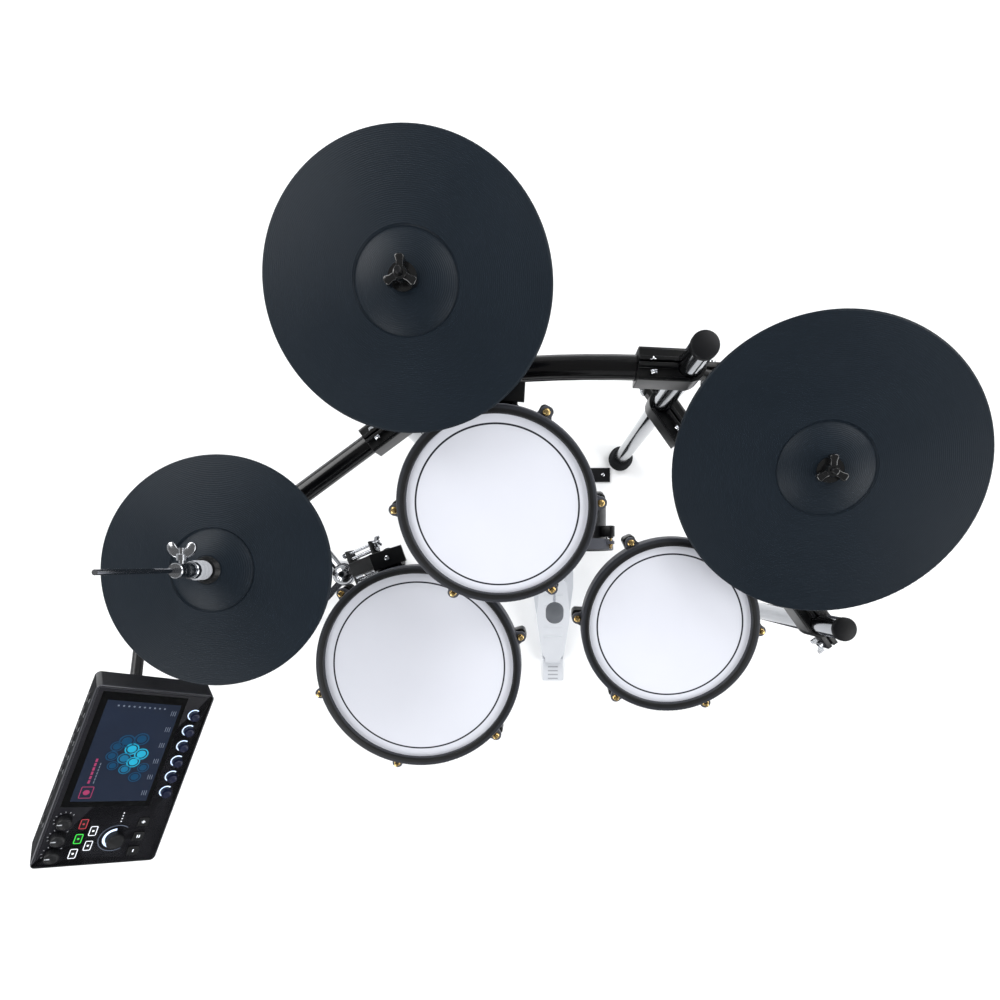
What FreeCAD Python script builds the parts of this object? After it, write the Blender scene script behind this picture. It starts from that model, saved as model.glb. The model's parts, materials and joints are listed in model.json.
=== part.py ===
import FreeCAD, Part
import math
import os
from types import SimpleNamespace

import Sketcher
from FreeCAD import Placement, Rotation, Vector

# Electronic drum kit on a tube rack, seen by the drummer from -Y.
# The origin is on the floor under the kick pad, X to the right, Z up.
SIZES = {
    # Rack tubes, posts and bars
    "tube_radius": 19.05,
    "tube_wall": 1.8,
    "left_post_x": -708,
    "left_post_y": -39,
    "left_post_over": 50,
    "rear_left_post_x": -290,
    "rear_left_post_y": 270,
    "rear_left_post_over": 60,
    "rear_right_post_x": 192,
    "rear_right_post_y": 296,
    "rear_right_post_over": 95,
    "right_post_x": 481,
    "right_post_y": -112,
    "right_post_over": 100,
    "rear_bar_height": 740,
    "rear_bar_bulge": 15,
    "side_bar_height": 550,
    # Post caps and feet
    "plug_clearance": 0.15,
    "cap_flange": 1.2,
    "cap_rim": 7.5,
    "cap_dome": 2.5,
    "cap_spigot": 16,
    "foot_radius": 33,
    "foot_height": 34,
    "foot_floor": 6,
    "foot_neck": 24,
    "foot_groove": 2,
    "foot_ridge": 4,
    # Two-half tube clamps and their wing bolts
    "clamp_wall": 6,
    "clamp_length": 46,
    "clamp_gap": 3,
    "clamp_clearance": 0.5,
    "socket_length": 78,
    "socket_stop": 23,
    "clamp_round": 5,
    "flange_rise": 9,
    "flange_depth": 15,
    "ear_reach": 26,
    "ear_depth": 22,
    "ear_width": 24,
    "bolt_radius": 3.5,
    "bolt_clearance": 0.2,
    "bolt_hub_radius": 6.5,
    "bolt_hub_height": 8,
    "bolt_nut_height": 5,
    "wing_span": 15,
    "wing_rise": 15,
    "wing_thickness": 4,
    # Arms and tilt knuckles
    "arm_radius": 8,
    "arm_grip": 32,
    "pin_radius": 4,
    "pin_clearance": 0.05,
    "pin_proud": 1.5,
    "knuckle_width": 24,
    "knuckle_radius": 10.5,
    "knuckle_reach": 12,
    "cheek_thickness": 6,
    "cheek_clearance": 0.3,
    "cheek_radius": 11,
    "hub_radius": 13,
    "hub_reach": 25,
    "cover_width": 56,
    "cover_depth": 28,
    "cover_thickness": 5,
    "cover_sink": 1,
    "cover_start": 8,
    # Mesh pads
    "head_skin": 1.2,
    "flesh_inset": 1.5,
    "flesh_width": 5,
    "flesh_height": 9,
    "seat_clearance": 0.3,
    "hoop_width": 13.3,
    "hoop_wall": 5,
    "hoop_lip": 8,
    "hoop_drop": 17,
    "hoop_round": 3,
    "shell_inset": 4,
    "shell_wall": 5,
    "shell_floor": 4,
    "shell_round": 8,
    "tab_depth": 50,
    "rod_offset": 5.5,
    "rod_radius": 3,
    "rod_clearance": 0.4,
    "rod_head_radius": 5.2,
    "rod_head_height": 10,
    "ear_tip_radius": 8.5,
    "ear_root_half": 12,
    "hoop_ear_drop": 12,
    "hoop_ear_height": 7,
    "lug_width": 20,
    "lug_top": 22,
    "lug_bottom": 47,
    "lug_round": 4,
    "lug_count": 6,
    "sensor_plate_radius": 40,
    "sensor_plate_height": 4,
    "sensor_post_radius": 13,
    "foam_height": 26,
    "foam_tip_radius": 7,
    "snare_x": -229,
    "snare_y": -168,
    "snare_z": 690,
    "snare_tilt": 6.5,
    "snare_head_radius": 152.4,
    "snare_depth": 76,
    "snare_lug_turn": 16,
    "snare_mount_turn": 108,
    "rack_tom_x": -92,
    "rack_tom_y": 78,
    "rack_tom_z": 815,
    "rack_tom_tilt": 17,
    "rack_tom_head_radius": 127,
    "rack_tom_depth": 74,
    "rack_tom_lug_turn": 2,
    "rack_tom_mount_turn": 86,
    "floor_tom_x": 172,
    "floor_tom_y": -99,
    "floor_tom_z": 717,
    "floor_tom_tilt": 10,
    "floor_tom_head_radius": 127,
    "floor_tom_depth": 74,
    "floor_tom_lug_turn": -4,
    "floor_tom_mount_turn": 26,
    "kick_face_y": 38,
    "kick_z": 250,
    "kick_head_radius": 127,
    "kick_depth": 102,
    "kick_lug_turn": 30,
    # Snare arm: a ball joint between the bar clamp and the pad
    "snare_ball_x": -378,
    "snare_ball_y": -20,
    "snare_ball_z": 612,
    "snare_ball_radius": 20,
    "snare_clamp_along": 269,
    # Screw adjuster on the snare arm, between the ball joint and the fork
    "adjuster_start": 26,
    "adjuster_length": 61,
    "adjuster_width": 24,
    "adjuster_height": 20,
    "adjuster_plate": 5,
    "adjuster_plate_reach": 34,
    "adjuster_plate_height": 18,
    "adjuster_rod_radius": 3.2,
    "adjuster_rod_offset": 19,
    "adjuster_rod_proud": 4,
    "adjuster_bolt_radius": 2.4,
    "adjuster_bolt_offset": 29,
    "adjuster_bolt_proud": 12,
    # Cymbal pads
    "crash_x": -193,
    "crash_y": 341,
    "crash_z": 915,
    "crash_tilt": 9,
    "crash_lean": 270,
    "crash_radius": 177.8,
    "crash_bell_radius": 65,
    "ride_x": 356,
    "ride_y": 129,
    "ride_z": 835,
    "ride_tilt": 17,
    "ride_lean": 230,
    "ride_radius": 203.2,
    "ride_bell_radius": 65,
    "hihat_x": -458,
    "hihat_y": -9,
    "hihat_z": 862,
    "hihat_radius": 152.4,
    "hihat_bell_radius": 56,
    "pad_thickness": 7,
    "pad_edge_round": 3.5,
    "bow_rise": 11,
    "bow_curve": 12,
    "bell_curve": 1.6,
    "bell_rise": 22,
    "bell_step": 2.2,
    "bell_top_radius": 20,
    "pad_hole_radius": 7,
    "jack_box_length": 46,
    "jack_box_width": 34,
    "jack_box_height": 17,
    "jack_box_radius": 96,
    # Cymbal stems, seats and nuts
    "stem_radius": 4,
    "sleeve_radius": 6.2,
    "tilter_drop": 44,
    "tilter_radius": 13,
    "tilter_length": 34,
    "stem_rise": 24,
    "seat_radius": 17,
    "seat_top_radius": 9,
    "seat_height": 9,
    "seat_gap": 1.6,
    "nut_radius": 9,
    "nut_height": 15,
    "nut_wing_reach": 21,
    "nut_wing_width": 8,
    "nut_wing_count": 3,
    "washer_height": 5,
    # Hi-hat stand
    "lower_tube_radius": 14.3,
    "lower_tube_base": 44,
    "upper_tube_radius": 11,
    "upper_tube_length": 230,
    "seat_drop": 32,
    "stand_bore": 7,
    "collar_radius": 20,
    "collar_height": 44,
    "sensor_seat_radius": 62,
    "sensor_seat_top_radius": 50,
    "sensor_seat_base_radius": 25,
    "sensor_seat_height": 16,
    "pull_rod_radius": 3,
    "pull_rod_over": 117,
    "pull_rod_clearance": 0.05,
    "clevis_size": 16,
    "clevis_base": 108,
    "clutch_radius": 9,
    "clutch_length": 26,
    "lock_nut_height": 9,
    "clutch_sleeve_radius": 6.2,
    "clutch_nut_radius": 13,
    "clutch_nut_height": 7,
    "felt_radius": 12.2,
    "felt_height": 14,
    "base_washer_radius": 18,
    "base_washer_top_radius": 14.4,
    "base_washer_height": 6,
    "leg_spread": 230,
    "leg_forward": 140,
    "leg_radius": 8.5,
    "leg_collar_height": 300,
    "leg_collar_length": 36,
    "leg_foot_radius": 15,
    "leg_foot_height": 26,
    "leg_foot_shoulder": 18,
    "leg_foot_top_radius": 11.5,
    "base_block_size": 52,
    "base_frame_width": 74,
    "base_frame_thickness": 6,
    # Footboards, shared by both pedals
    "board_thickness": 8,
    "board_length": 254,
    "board_toe_width": 70,
    "board_waist_width": 62,
    "board_wide_width": 92,
    "board_wide_share": 0.55,
    "board_rib_first": 0.3,
    "board_rib_step": 0.12,
    "board_rib_length": 50,
    "board_rib_width": 4,
    "board_rib_height": 2,
    "board_hinge_radius": 6,
    "board_hinge_height": 24,
    "board_rise": 19,
    "heel_length": 60,
    "heel_width": 57,
    "hihat_board_rise": 15,
    "hihat_heel_y": -285,
    # Kick pad tower
    "tower_plate": 5,
    "tower_tongue_width": 56,
    "tower_front": -25,
    "tower_shoulder": 60,
    "tower_body_width": 140,
    "tower_cross_y": 231,
    "tower_cross_depth": 40,
    "tower_cross_width": 326,
    "tower_upright_width": 110,
    "tower_upright_height": 300,
    "tower_rib_depth": 70,
    "tower_rib_height": 240,
    # Kick pedal
    "pedal_heel_y": -274,
    "pedal_prong_width": 20,
    "pedal_gap_width": 76,
    "pedal_prong_front": 16,
    "pedal_plate_front": -32,
    "pedal_plate": 6,
    "jaw_depth": 34,
    "jaw_height": 9,
    "jaw_lap": 15,
    "axle_height": 130,
    "axle_radius": 6,
    "axle_clearance": 0.05,
    "post_depth": 28,
    "post_thickness": 10,
    "beater_length": 170,
    "beater_lean": 45,
    "beater_rod_radius": 4,
    "beater_radius": 21.5,
    "beater_depth": 50,
    "beater_round": 16,
    "cam_radius": 17,
    "cam_width": 26,
    # Sound module
    "module_x": -607,
    "module_y": -299,
    "module_rise": 180,
    "module_turn": 69.5,
    "module_slope": 41.4,
    "module_length": 259,
    "module_width": 142,
    "module_depth": 52,
    "module_corner": 7,
    "module_edge": 3,
    "panel_margin": 4,
    "panel_thickness": 3,
    "panel_fit": 0.2,
    "glass_left": 87,
    "glass_top": 9,
    "glass_length": 164,
    "glass_width": 100,
    "glass_proud": 0.4,
    "module_tab_along": 66,
    "module_tab_up": 8,
    "module_arm_gap": 90,
    # Module knobs and buttons
    "shaft_radius": 3,
    "shaft_clearance": 0.05,
    "knob_lift": 0.4,
    "pointer_width": 1.6,
    "pointer_depth": 0.8,
    "pointer_start": 0.25,
    "knob_shoulder": 0.92,
    "knob_top": 0.82,
    "dial_left": 39,
    "dial_top": 83,
    "dial_radius": 15,
    "dial_height": 11,
    "encoder_left": 109,
    "encoder_pitch": 23.6,
    "encoder_top": 124,
    "encoder_radius": 6.2,
    "encoder_height": 10,
    "level_left": 21,
    "level_pitch": 24,
    "level_top": 18.5,
    "level_radius": 8.5,
    "level_height": 12,
    "key_size": 13,
    "key_left": 19,
    "key_pitch": 22,
    "key_top": 110,
    "pad_key_length": 15,
    "pad_key_width": 9.5,
    "pad_key_left": 20,
    "pad_key_pitch": 21.5,
    "pad_key_top": 41,
    "pad_key_row": 13.5,
    "button_clearance": 0.15,
    "button_proud": 1.8,
    "button_travel": 1,
}


class Size:
    """A length with its number and the sheet formula that gives it."""

    def __init__(self, number, formula):
        self.number = float(number)
        self.formula = formula

    def __add__(self, other):
        other = as_size(other)
        return Size(self.number + other.number, f"({self.formula} + {other.formula})")

    def __sub__(self, other):
        other = as_size(other)
        return Size(self.number - other.number, f"({self.formula} - {other.formula})")

    def __mul__(self, other):
        other = as_size(other)
        return Size(self.number * other.number, f"({self.formula} * {other.formula})")

    def __truediv__(self, other):
        other = as_size(other)
        return Size(self.number / other.number, f"({self.formula} / {other.formula})")

    def __radd__(self, other):
        return as_size(other) + self

    def __rsub__(self, other):
        return as_size(other) - self

    def __rmul__(self, other):
        return as_size(other) * self

    def __neg__(self):
        return Size(-self.number, f"(0 - {self.formula})")

    def __float__(self):
        return self.number


def as_size(value):
    """Give a plain number the same form as a sheet size."""
    if isinstance(value, Size):
        return value
    return Size(value, f"({float(value)!r})")


os.makedirs("parts", exist_ok=True)
doc = FreeCAD.newDocument("drum_kit")
sheet = doc.addObject("Spreadsheet::Sheet", "dims")
for row, (alias, number) in enumerate(SIZES.items(), start=1):
    sheet.set(f"A{row}", alias)
    sheet.set(f"B{row}", str(number))
    sheet.setAlias(f"B{row}", alias)
doc.recompute()
d = SimpleNamespace(**{alias: Size(number, f"dims.{alias}") for alias, number in SIZES.items()})

X_AXIS = Vector(1, 0, 0)
Y_AXIS = Vector(0, 1, 0)
Z_AXIS = Vector(0, 0, 1)
TURN = 360
QUARTER_TURN = 90
TINY = 1e-6
STEEP = 0.9
nodes = []


# Places and directions
def at(x, y, z):
    """Place of an unturned piece."""
    return Placement(Vector(float(x), float(y), float(z)), Rotation())


def turned(axis, degrees):
    """Turn about an axis through the origin."""
    return Placement(Vector(), Rotation(axis, float(degrees)))


def aimed(point, along, side):
    """Frame at a point: Z along one direction, X in the plane of that and another."""
    z_way = Vector(along).normalize()
    y_way = z_way.cross(side).normalize()
    x_way = y_way.cross(z_way)
    return Placement(point, Rotation(x_way, y_way, z_way, "ZXY"))


def square_to(way):
    """Any direction that is not along the given one."""
    return Z_AXIS if abs(way.z) < STEEP * way.Length else X_AXIS


# Sketches and solids of revolution or extrusion
def origin_part(body, role):
    """Find one of the planes or axes of a body's own origin."""
    return next(part for part in body.Origin.OriginFeatures if part.Role == role)


def pin_vertex(sketch, line, end, x, y):
    """Hold a sketch vertex at a sheet position."""
    for kind, axis, value in (("DistanceX", -2, as_size(x)), ("DistanceY", -1, as_size(y))):
        if abs(value.number) < TINY:
            sketch.addConstraint(Sketcher.Constraint("PointOnObject", line, end, axis))
            continue
        index = sketch.addConstraint(Sketcher.Constraint(kind, -1, 1, line, end, value.number))
        sketch.setExpression(f"Constraints[{index}]", value.formula)


def draw_loop(sketch, loop):
    """Draw a closed outline; a step of four values is an arc with a radius and a turn."""
    corners = [(as_size(step[0]), as_size(step[1])) for step in loop]
    ends = []
    for index, step in enumerate(loop):
        start = Vector(corners[index - 1][0].number, corners[index - 1][1].number, 0)
        stop = Vector(corners[index][0].number, corners[index][1].number, 0)
        if len(step) == 2:
            line = sketch.addGeometry(Part.LineSegment(start, stop), False)
            ends.append((line, 1, 2))
            continue
        radius = as_size(step[2])
        left = step[3] > 0
        chord = stop - start
        rise = math.sqrt(max(radius.number ** 2 - (chord.Length / 2) ** 2, 0))
        across = Vector(-chord.y, chord.x, 0).normalize() * (rise if left else -rise)
        centre = (start + stop) / 2 + across
        begin, finish = (start, stop) if left else (stop, start)
        angles = [math.atan2(p.y - centre.y, p.x - centre.x) for p in (begin, finish)]
        circle = Part.Circle(centre, Z_AXIS, radius.number)
        line = sketch.addGeometry(Part.ArcOfCircle(circle, *angles), False)
        ends.append((line, 1, 2) if left else (line, 2, 1))
        bound = sketch.addConstraint(Sketcher.Constraint("Radius", line, radius.number))
        sketch.setExpression(f"Constraints[{bound}]", radius.formula)
    for index, (line, begin, finish) in enumerate(ends):
        following = ends[(index + 1) % len(ends)]
        sketch.addConstraint(Sketcher.Constraint("Coincident", line, finish, following[0], following[1]))
    for (line, begin, finish), (x, y) in zip(ends, corners):
        pin_vertex(sketch, line, finish, x, y)


def draw_circle(sketch, x, y, radius):
    """Draw a circle held by its centre and radius."""
    x, y, radius = as_size(x), as_size(y), as_size(radius)
    circle = Part.Circle(Vector(x.number, y.number, 0), Z_AXIS, radius.number)
    line = sketch.addGeometry(circle, False)
    bound = sketch.addConstraint(Sketcher.Constraint("Radius", line, radius.number))
    sketch.setExpression(f"Constraints[{bound}]", radius.formula)
    pin_vertex(sketch, line, 3, x, y)


def new_sketch(body, role, lift=0, loops=(), circles=()):
    """Sketch on one of a body's origin planes, lifted along its normal."""
    sketch = body.newObject("Sketcher::SketchObject", f"{body.Name}_sketch")
    sketch.AttachmentSupport = [(origin_part(body, role), "")]
    sketch.MapMode = "FlatFace"
    lift = as_size(lift)
    sketch.AttachmentOffset = at(0, 0, lift)
    sketch.setExpression("AttachmentOffset.Base.z", lift.formula)
    for loop in loops:
        draw_loop(sketch, loop)
    for circle in circles:
        draw_circle(sketch, *circle)
    return sketch


def new_body(name, place=None):
    """Empty body with its place."""
    body = doc.addObject("PartDesign::Body", name)
    if place is not None:
        body.Placement = place
    return body


def revolve(name, loop, place=None):
    """Body turned about its own Z axis from an outline of radius and height."""
    body = new_body(name, place)
    turn = body.newObject("PartDesign::Revolution", f"{name}_turn")
    turn.Profile = new_sketch(body, "XZ_Plane", loops=[loop])
    turn.ReferenceAxis = (turn.Profile[0], ["V_Axis"])
    turn.Angle = TURN
    return body


def add_pad(body, length, role="XY_Plane", lift=0, loops=(), circles=(), both_ways=False):
    """Pad of a sketch, one way or evenly about its plane."""
    pad = body.newObject("PartDesign::Pad", f"{body.Name}_pad")
    pad.Profile = new_sketch(body, role, lift, loops, circles)
    if both_ways:
        pad.SideType = "Symmetric"
    pad.setExpression("Length", as_size(length).formula)
    return pad


def add_pocket(body, depth, lift, loops=(), circles=()):
    """Pocket cut down from a plane above the face that it enters."""
    pocket = body.newObject("PartDesign::Pocket", f"{body.Name}_pocket")
    pocket.Profile = new_sketch(body, "XY_Plane", lift, loops, circles)
    pocket.setExpression("Length", as_size(depth).formula)
    return pocket


def add_ring_copies(body, features, count):
    """Copies of features evenly round the body's Z axis."""
    pattern = body.newObject("PartDesign::PolarPattern", f"{body.Name}_copies")
    pattern.Originals = features
    pattern.Axis = (origin_part(body, "Z_Axis"), [""])
    pattern.Angle = TURN
    pattern.setExpression("Occurrences", count.formula)
    body.Tip = pattern


def rectangle(x0, y0, x1, y1):
    """Closed outline of a rectangle."""
    return [(x1, y0), (x1, y1), (x0, y1), (x0, y0)]


def rounded_square(half, corner):
    """Closed outline of a square with rounded corners about the origin."""
    flat = half - corner
    return [
        (half, flat), (flat, half, corner, 1), (-flat, half), (-half, flat, corner, 1),
        (-half, -flat), (-flat, -half, corner, 1), (flat, -half), (half, -flat, corner, 1),
    ]


# Part primitives
def cylinder(name, radius, length, place):
    """Round bar along the Z of its place."""
    bar = doc.addObject("Part::Cylinder", name)
    bar.setExpression("Radius", as_size(radius).formula)
    bar.setExpression("Height", as_size(length).formula)
    bar.Placement = place
    return bar


def rod(name, radius, start, stop):
    """Round bar between two points."""
    way = stop - start
    bar = doc.addObject("Part::Cylinder", name)
    bar.setExpression("Radius", as_size(radius).formula)
    bar.Height = way.Length
    bar.Placement = aimed(start, way, square_to(way))
    return bar


def block(name, low, high, place=None):
    """Box between two corners of a place."""
    spans = [as_size(b) - as_size(a) for a, b in zip(low, high)]
    box = doc.addObject("Part::Box", name)
    for side, span in zip(("Length", "Width", "Height"), spans):
        box.setExpression(side, span.formula)
    corner = at(*[as_size(value).number for value in low])
    box.Placement = corner if place is None else place.multiply(corner)
    return box


def ball(name, radius, point, way):
    """Sphere at a point, with its poles along a direction."""
    sphere = doc.addObject("Part::Sphere", name)
    sphere.setExpression("Radius", as_size(radius).formula)
    sphere.Placement = aimed(point, way, square_to(way))
    return sphere


def fused(name, pieces):
    """One solid from pieces that run into each other."""
    union = doc.addObject("Part::MultiFuse", name)
    union.Shapes = pieces
    union.Refine = True
    return union


def cut(name, base, tool):
    """Solid less another."""
    result = doc.addObject("Part::Cut", name)
    result.Base = base
    result.Tool = tool
    result.Refine = True
    return result


def copy_at(name, master, place):
    """Repeat of a piece at another place."""
    link = doc.addObject("App::Link", name)
    link.LinkedObject = master
    link.Placement = place
    return link


def group(name, pieces):
    """Separate solids kept under one name."""
    bundle = doc.addObject("Part::Compound", name)
    bundle.Links = pieces
    return bundle


def keep(name, piece):
    """Name a finished sub-part and list it for writing."""
    piece.Label = name
    nodes.append((name, piece))
    return piece


# Rack
POSTS = ("left", "rear_left", "rear_right", "right")
bolt_places = []
clamp_halves = []


def post_point(post, height):
    """Point on a post's axis."""
    return Vector(float(getattr(d, f"{post}_post_x")), float(getattr(d, f"{post}_post_y")), float(height))


def module_arm_height():
    """Height of the module arm's clamp on the left post, above the clamp of the side bar."""
    return d.side_bar_height + d.module_arm_gap


def post_top(post):
    """Height of a post's upper end, over the highest clamp that the post carries."""
    carried = {
        "left": module_arm_height(),
        "rear_left": d.rear_bar_height,
        "rear_right": d.rear_bar_height,
        "right": d.side_bar_height,
    }
    return carried[post] + getattr(d, f"{post}_post_over")


def hollow_tube(name, radius, bore, length, place):
    """Straight tube along the Z of its place."""
    body = new_body(name, place)
    add_pad(body, length, circles=[(0, 0, radius), (0, 0, bore)])
    return body


def make_posts():
    """Four upright tubes with a crowned plug above and a ribbed rubber foot below."""
    bore = d.tube_radius - d.tube_wall
    plug = bore - d.plug_clearance
    rim = d.tube_radius + d.cap_flange
    dome_radius = (rim * rim + d.cap_dome * d.cap_dome) / (2 * d.cap_dome)
    cap_loop = [
        (plug, -d.cap_spigot), (plug, 0), (rim, 0), (rim, d.cap_rim),
        (0, d.cap_rim + d.cap_dome, dome_radius, 1), (0, -d.cap_spigot),
    ]
    seat = d.tube_radius + d.plug_clearance
    ridge = d.foot_ridge
    inner = d.foot_radius - d.foot_groove
    foot_loop = [(d.foot_radius, 0), (d.foot_radius, d.foot_floor)]
    for groove in range(2):
        low = d.foot_floor + ridge * (2 * groove)
        foot_loop += [
            (inner, low + ridge / 2), (inner, low + ridge),
            (d.foot_radius, low + ridge + ridge / 2), (d.foot_radius, low + ridge * 2),
        ]
    foot_loop += [
        (d.foot_neck, d.foot_height), (seat, d.foot_height),
        (seat, d.foot_floor), (0, d.foot_floor), (0, 0),
    ]
    tubes = []
    caps = []
    feet = []
    for post in POSTS:
        top = post_top(post)
        foot_point = post_point(post, 0)
        tube_place = Placement(post_point(post, d.foot_floor), Rotation())
        tubes.append(hollow_tube(f"{post}_post", d.tube_radius, bore, top - d.foot_floor, tube_place))
        caps.append(revolve(f"{post}_cap", cap_loop, Placement(post_point(post, top), Rotation())))
        feet.append(revolve(f"{post}_foot", foot_loop, Placement(foot_point, Rotation())))
    keep("rack_posts", group("posts", tubes))
    keep("post_ends", group("caps_and_feet", caps + feet))


def make_wing_bolt():
    """Clamp bolt with its nut at one end and a two-wing grip at the other, centred on the ear."""
    half = d.ear_depth / 2
    nut_end = half + d.bolt_nut_height
    hub_end = half + d.bolt_hub_height
    body = revolve("wing_bolt", [
        (d.bolt_hub_radius, -nut_end), (d.bolt_hub_radius, -half), (d.bolt_radius, -half),
        (d.bolt_radius, half), (d.bolt_hub_radius, half), (d.bolt_hub_radius, hub_end),
        (0, hub_end), (0, -nut_end),
    ])
    low = half + d.bolt_hub_height / 4
    tip = half + d.wing_rise
    neck = half + d.bolt_hub_height / 2
    add_pad(body, d.wing_thickness, role="XZ_Plane", both_ways=True, loops=[[
        (d.bolt_hub_radius, low), (d.wing_span, neck), (d.wing_span, tip),
        (d.wing_span - d.bolt_hub_radius, tip), (0, neck),
        (d.bolt_hub_radius - d.wing_span, tip), (-d.wing_span, tip), (-d.wing_span, neck),
        (-d.bolt_hub_radius, low),
    ]])
    return body


def make_clamp(name, point, main_way, branch_way, branch_radius, branch_length, branch_stop):
    """Clamp in two flanged halves: a collar on a tube and a square socket for what branches off it.

    The halves part on the plane of the two axes, and a wing bolt behind the collar draws them together.
    """
    frame = aimed(point, main_way, branch_way)
    collar_radius = d.tube_radius + d.clamp_wall
    socket_radius = branch_radius + d.clamp_wall
    half_length = d.clamp_length / 2
    half_depth = d.ear_depth / 2
    ear_end = collar_radius + d.ear_reach
    bolt_x = collar_radius + d.ear_reach / 2
    socket_place = aimed(point, branch_way, main_way)
    collar = cylinder(f"{name}_collar", collar_radius, d.clamp_length, frame.multiply(at(0, 0, -half_length)))
    socket = new_body(f"{name}_socket", socket_place)
    add_pad(socket, branch_length, loops=[rounded_square(socket_radius, d.clamp_round)])
    flange_half = socket_radius + d.flange_rise
    flange = block(
        f"{name}_flange",
        (-flange_half, -d.flange_depth / 2, d.tube_radius),
        (flange_half, d.flange_depth / 2, branch_length),
        socket_place,
    )
    ear = block(
        f"{name}_ear",
        (-ear_end, -half_depth, -d.ear_width / 2),
        (-d.tube_radius, half_depth, d.ear_width / 2),
        frame,
    )
    solid = fused(f"{name}_block", [collar, socket, flange, ear])
    bore = cylinder(
        f"{name}_bore", d.tube_radius + d.clamp_clearance, d.clamp_length * 2,
        frame.multiply(at(0, 0, -d.clamp_length)),
    )
    socket_bore = cylinder(
        f"{name}_socket_bore", branch_radius + d.clamp_clearance, branch_length,
        socket_place.multiply(at(0, 0, branch_stop)),
    )
    bolt_place = frame.multiply(at(-bolt_x, 0, 0)).multiply(turned(X_AXIS, -QUARTER_TURN))
    bolt_hole = cylinder(
        f"{name}_bolt_hole", d.bolt_radius + d.bolt_clearance, d.ear_depth * 2,
        bolt_place.multiply(at(0, 0, -d.ear_depth)),
    )
    slit_reach = branch_length + ear_end
    slit = block(
        f"{name}_slit",
        (-slit_reach, -d.clamp_gap / 2, -slit_reach),
        (slit_reach, d.clamp_gap / 2, slit_reach),
        frame,
    )
    clamp_halves.append(cut(name, solid, fused(f"{name}_room", [bore, socket_bore, bolt_hole, slit])))
    bolt_places.append(bolt_place)


def bar_ends(first, second, height):
    """End points of a straight bar and its direction."""
    start = post_point(first, height)
    stop = post_point(second, height)
    return start, stop, (stop - start).normalize()


def make_side_bar(name, first, second):
    """Straight tube between two posts, held in a clamp at each."""
    start, stop, way = bar_ends(first, second, d.side_bar_height)
    length = (stop - start).Length - 2 * float(d.socket_stop)
    place = aimed(start + way * float(d.socket_stop), way, Z_AXIS)
    body = hollow_tube(name, d.tube_radius, d.tube_radius - d.tube_wall, length, place)
    for post, branch in ((first, way), (second, way * -1)):
        make_clamp(
            f"{name}_{post}_clamp", post_point(post, d.side_bar_height), Z_AXIS, branch,
            d.tube_radius, d.socket_length, d.socket_stop,
        )
    return body


def rear_arc():
    """Centre, radius and half angle in degrees of the rear bar's gentle curve."""
    start, stop, way = bar_ends("rear_left", "rear_right", d.rear_bar_height)
    chord = (stop - start).Length
    bulge = float(d.rear_bar_bulge)
    radius = (chord ** 2 / 4 + bulge ** 2) / (2 * bulge)
    outward = Z_AXIS.cross(way)
    centre = (start + stop) / 2 + outward * (bulge - radius)
    return centre, radius, math.degrees(math.asin(chord / 2 / radius)), way, outward


def rear_bar_point(turn):
    """Point and direction on the rear bar, by degrees from its middle towards the right."""
    centre, radius, half, way, outward = rear_arc()
    angle = math.radians(turn)
    point = centre + outward * (radius * math.cos(angle)) + way * (radius * math.sin(angle))
    along = way * math.cos(angle) - outward * math.sin(angle)
    return point, along


def make_rear_bar():
    """Tube bent to a wide arc that bulges to the rear, with its clamps."""
    centre, radius, half, way, outward = rear_arc()
    trim = math.degrees(float(d.socket_stop + d.clamp_clearance) / radius)
    # The tube is turned about the arc's centre, from its right end to its left.
    right_way = outward * math.cos(math.radians(half - trim)) + way * math.sin(math.radians(half - trim))
    body = new_body("rear_bar", aimed(centre, Z_AXIS, right_way))
    turn = body.newObject("PartDesign::Revolution", "rear_bar_turn")
    turn.Profile = new_sketch(body, "XZ_Plane", circles=[
        (radius, 0, d.tube_radius), (radius, 0, d.tube_radius - d.tube_wall),
    ])
    turn.ReferenceAxis = (turn.Profile[0], ["V_Axis"])
    turn.Angle = 2 * (half - trim)
    inset = half - math.degrees(float(d.socket_length) / radius)
    for post, angle in (("rear_left", -inset), ("rear_right", inset)):
        corner = post_point(post, d.rear_bar_height)
        point, along = rear_bar_point(angle)
        make_clamp(
            f"rear_bar_{post}_clamp", corner, Z_AXIS, point - corner,
            d.tube_radius, d.socket_length, d.socket_stop,
        )
    return body


def nearest_on_side_bar(first, second, point):
    """Nearest point of a side bar and the bar's direction."""
    start, stop, way = bar_ends(first, second, d.side_bar_height)
    return start + way * (point - start).dot(way), way


def nearest_on_rear_bar(point):
    """Nearest point of the rear bar and the bar's direction there."""
    centre, radius, half, way, outward = rear_arc()
    reach = point - centre
    return rear_bar_point(math.degrees(math.atan2(reach.dot(way), reach.dot(outward))))


def arm_clamp(name, bar_point, bar_way, target):
    """Clamp on a bar with a socket aimed at a target; gives the arm's own end in that socket."""
    branch = (target - bar_point).normalize()
    slope = abs(branch.dot(bar_way))
    across = math.sqrt(1 - slope ** 2)
    stop = (d.tube_radius + d.clamp_gap + d.arm_radius * slope) / across
    make_clamp(f"{name}_clamp", bar_point, bar_way, branch, d.arm_radius, stop + d.arm_grip, stop)
    return bar_point + branch * stop.number


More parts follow.
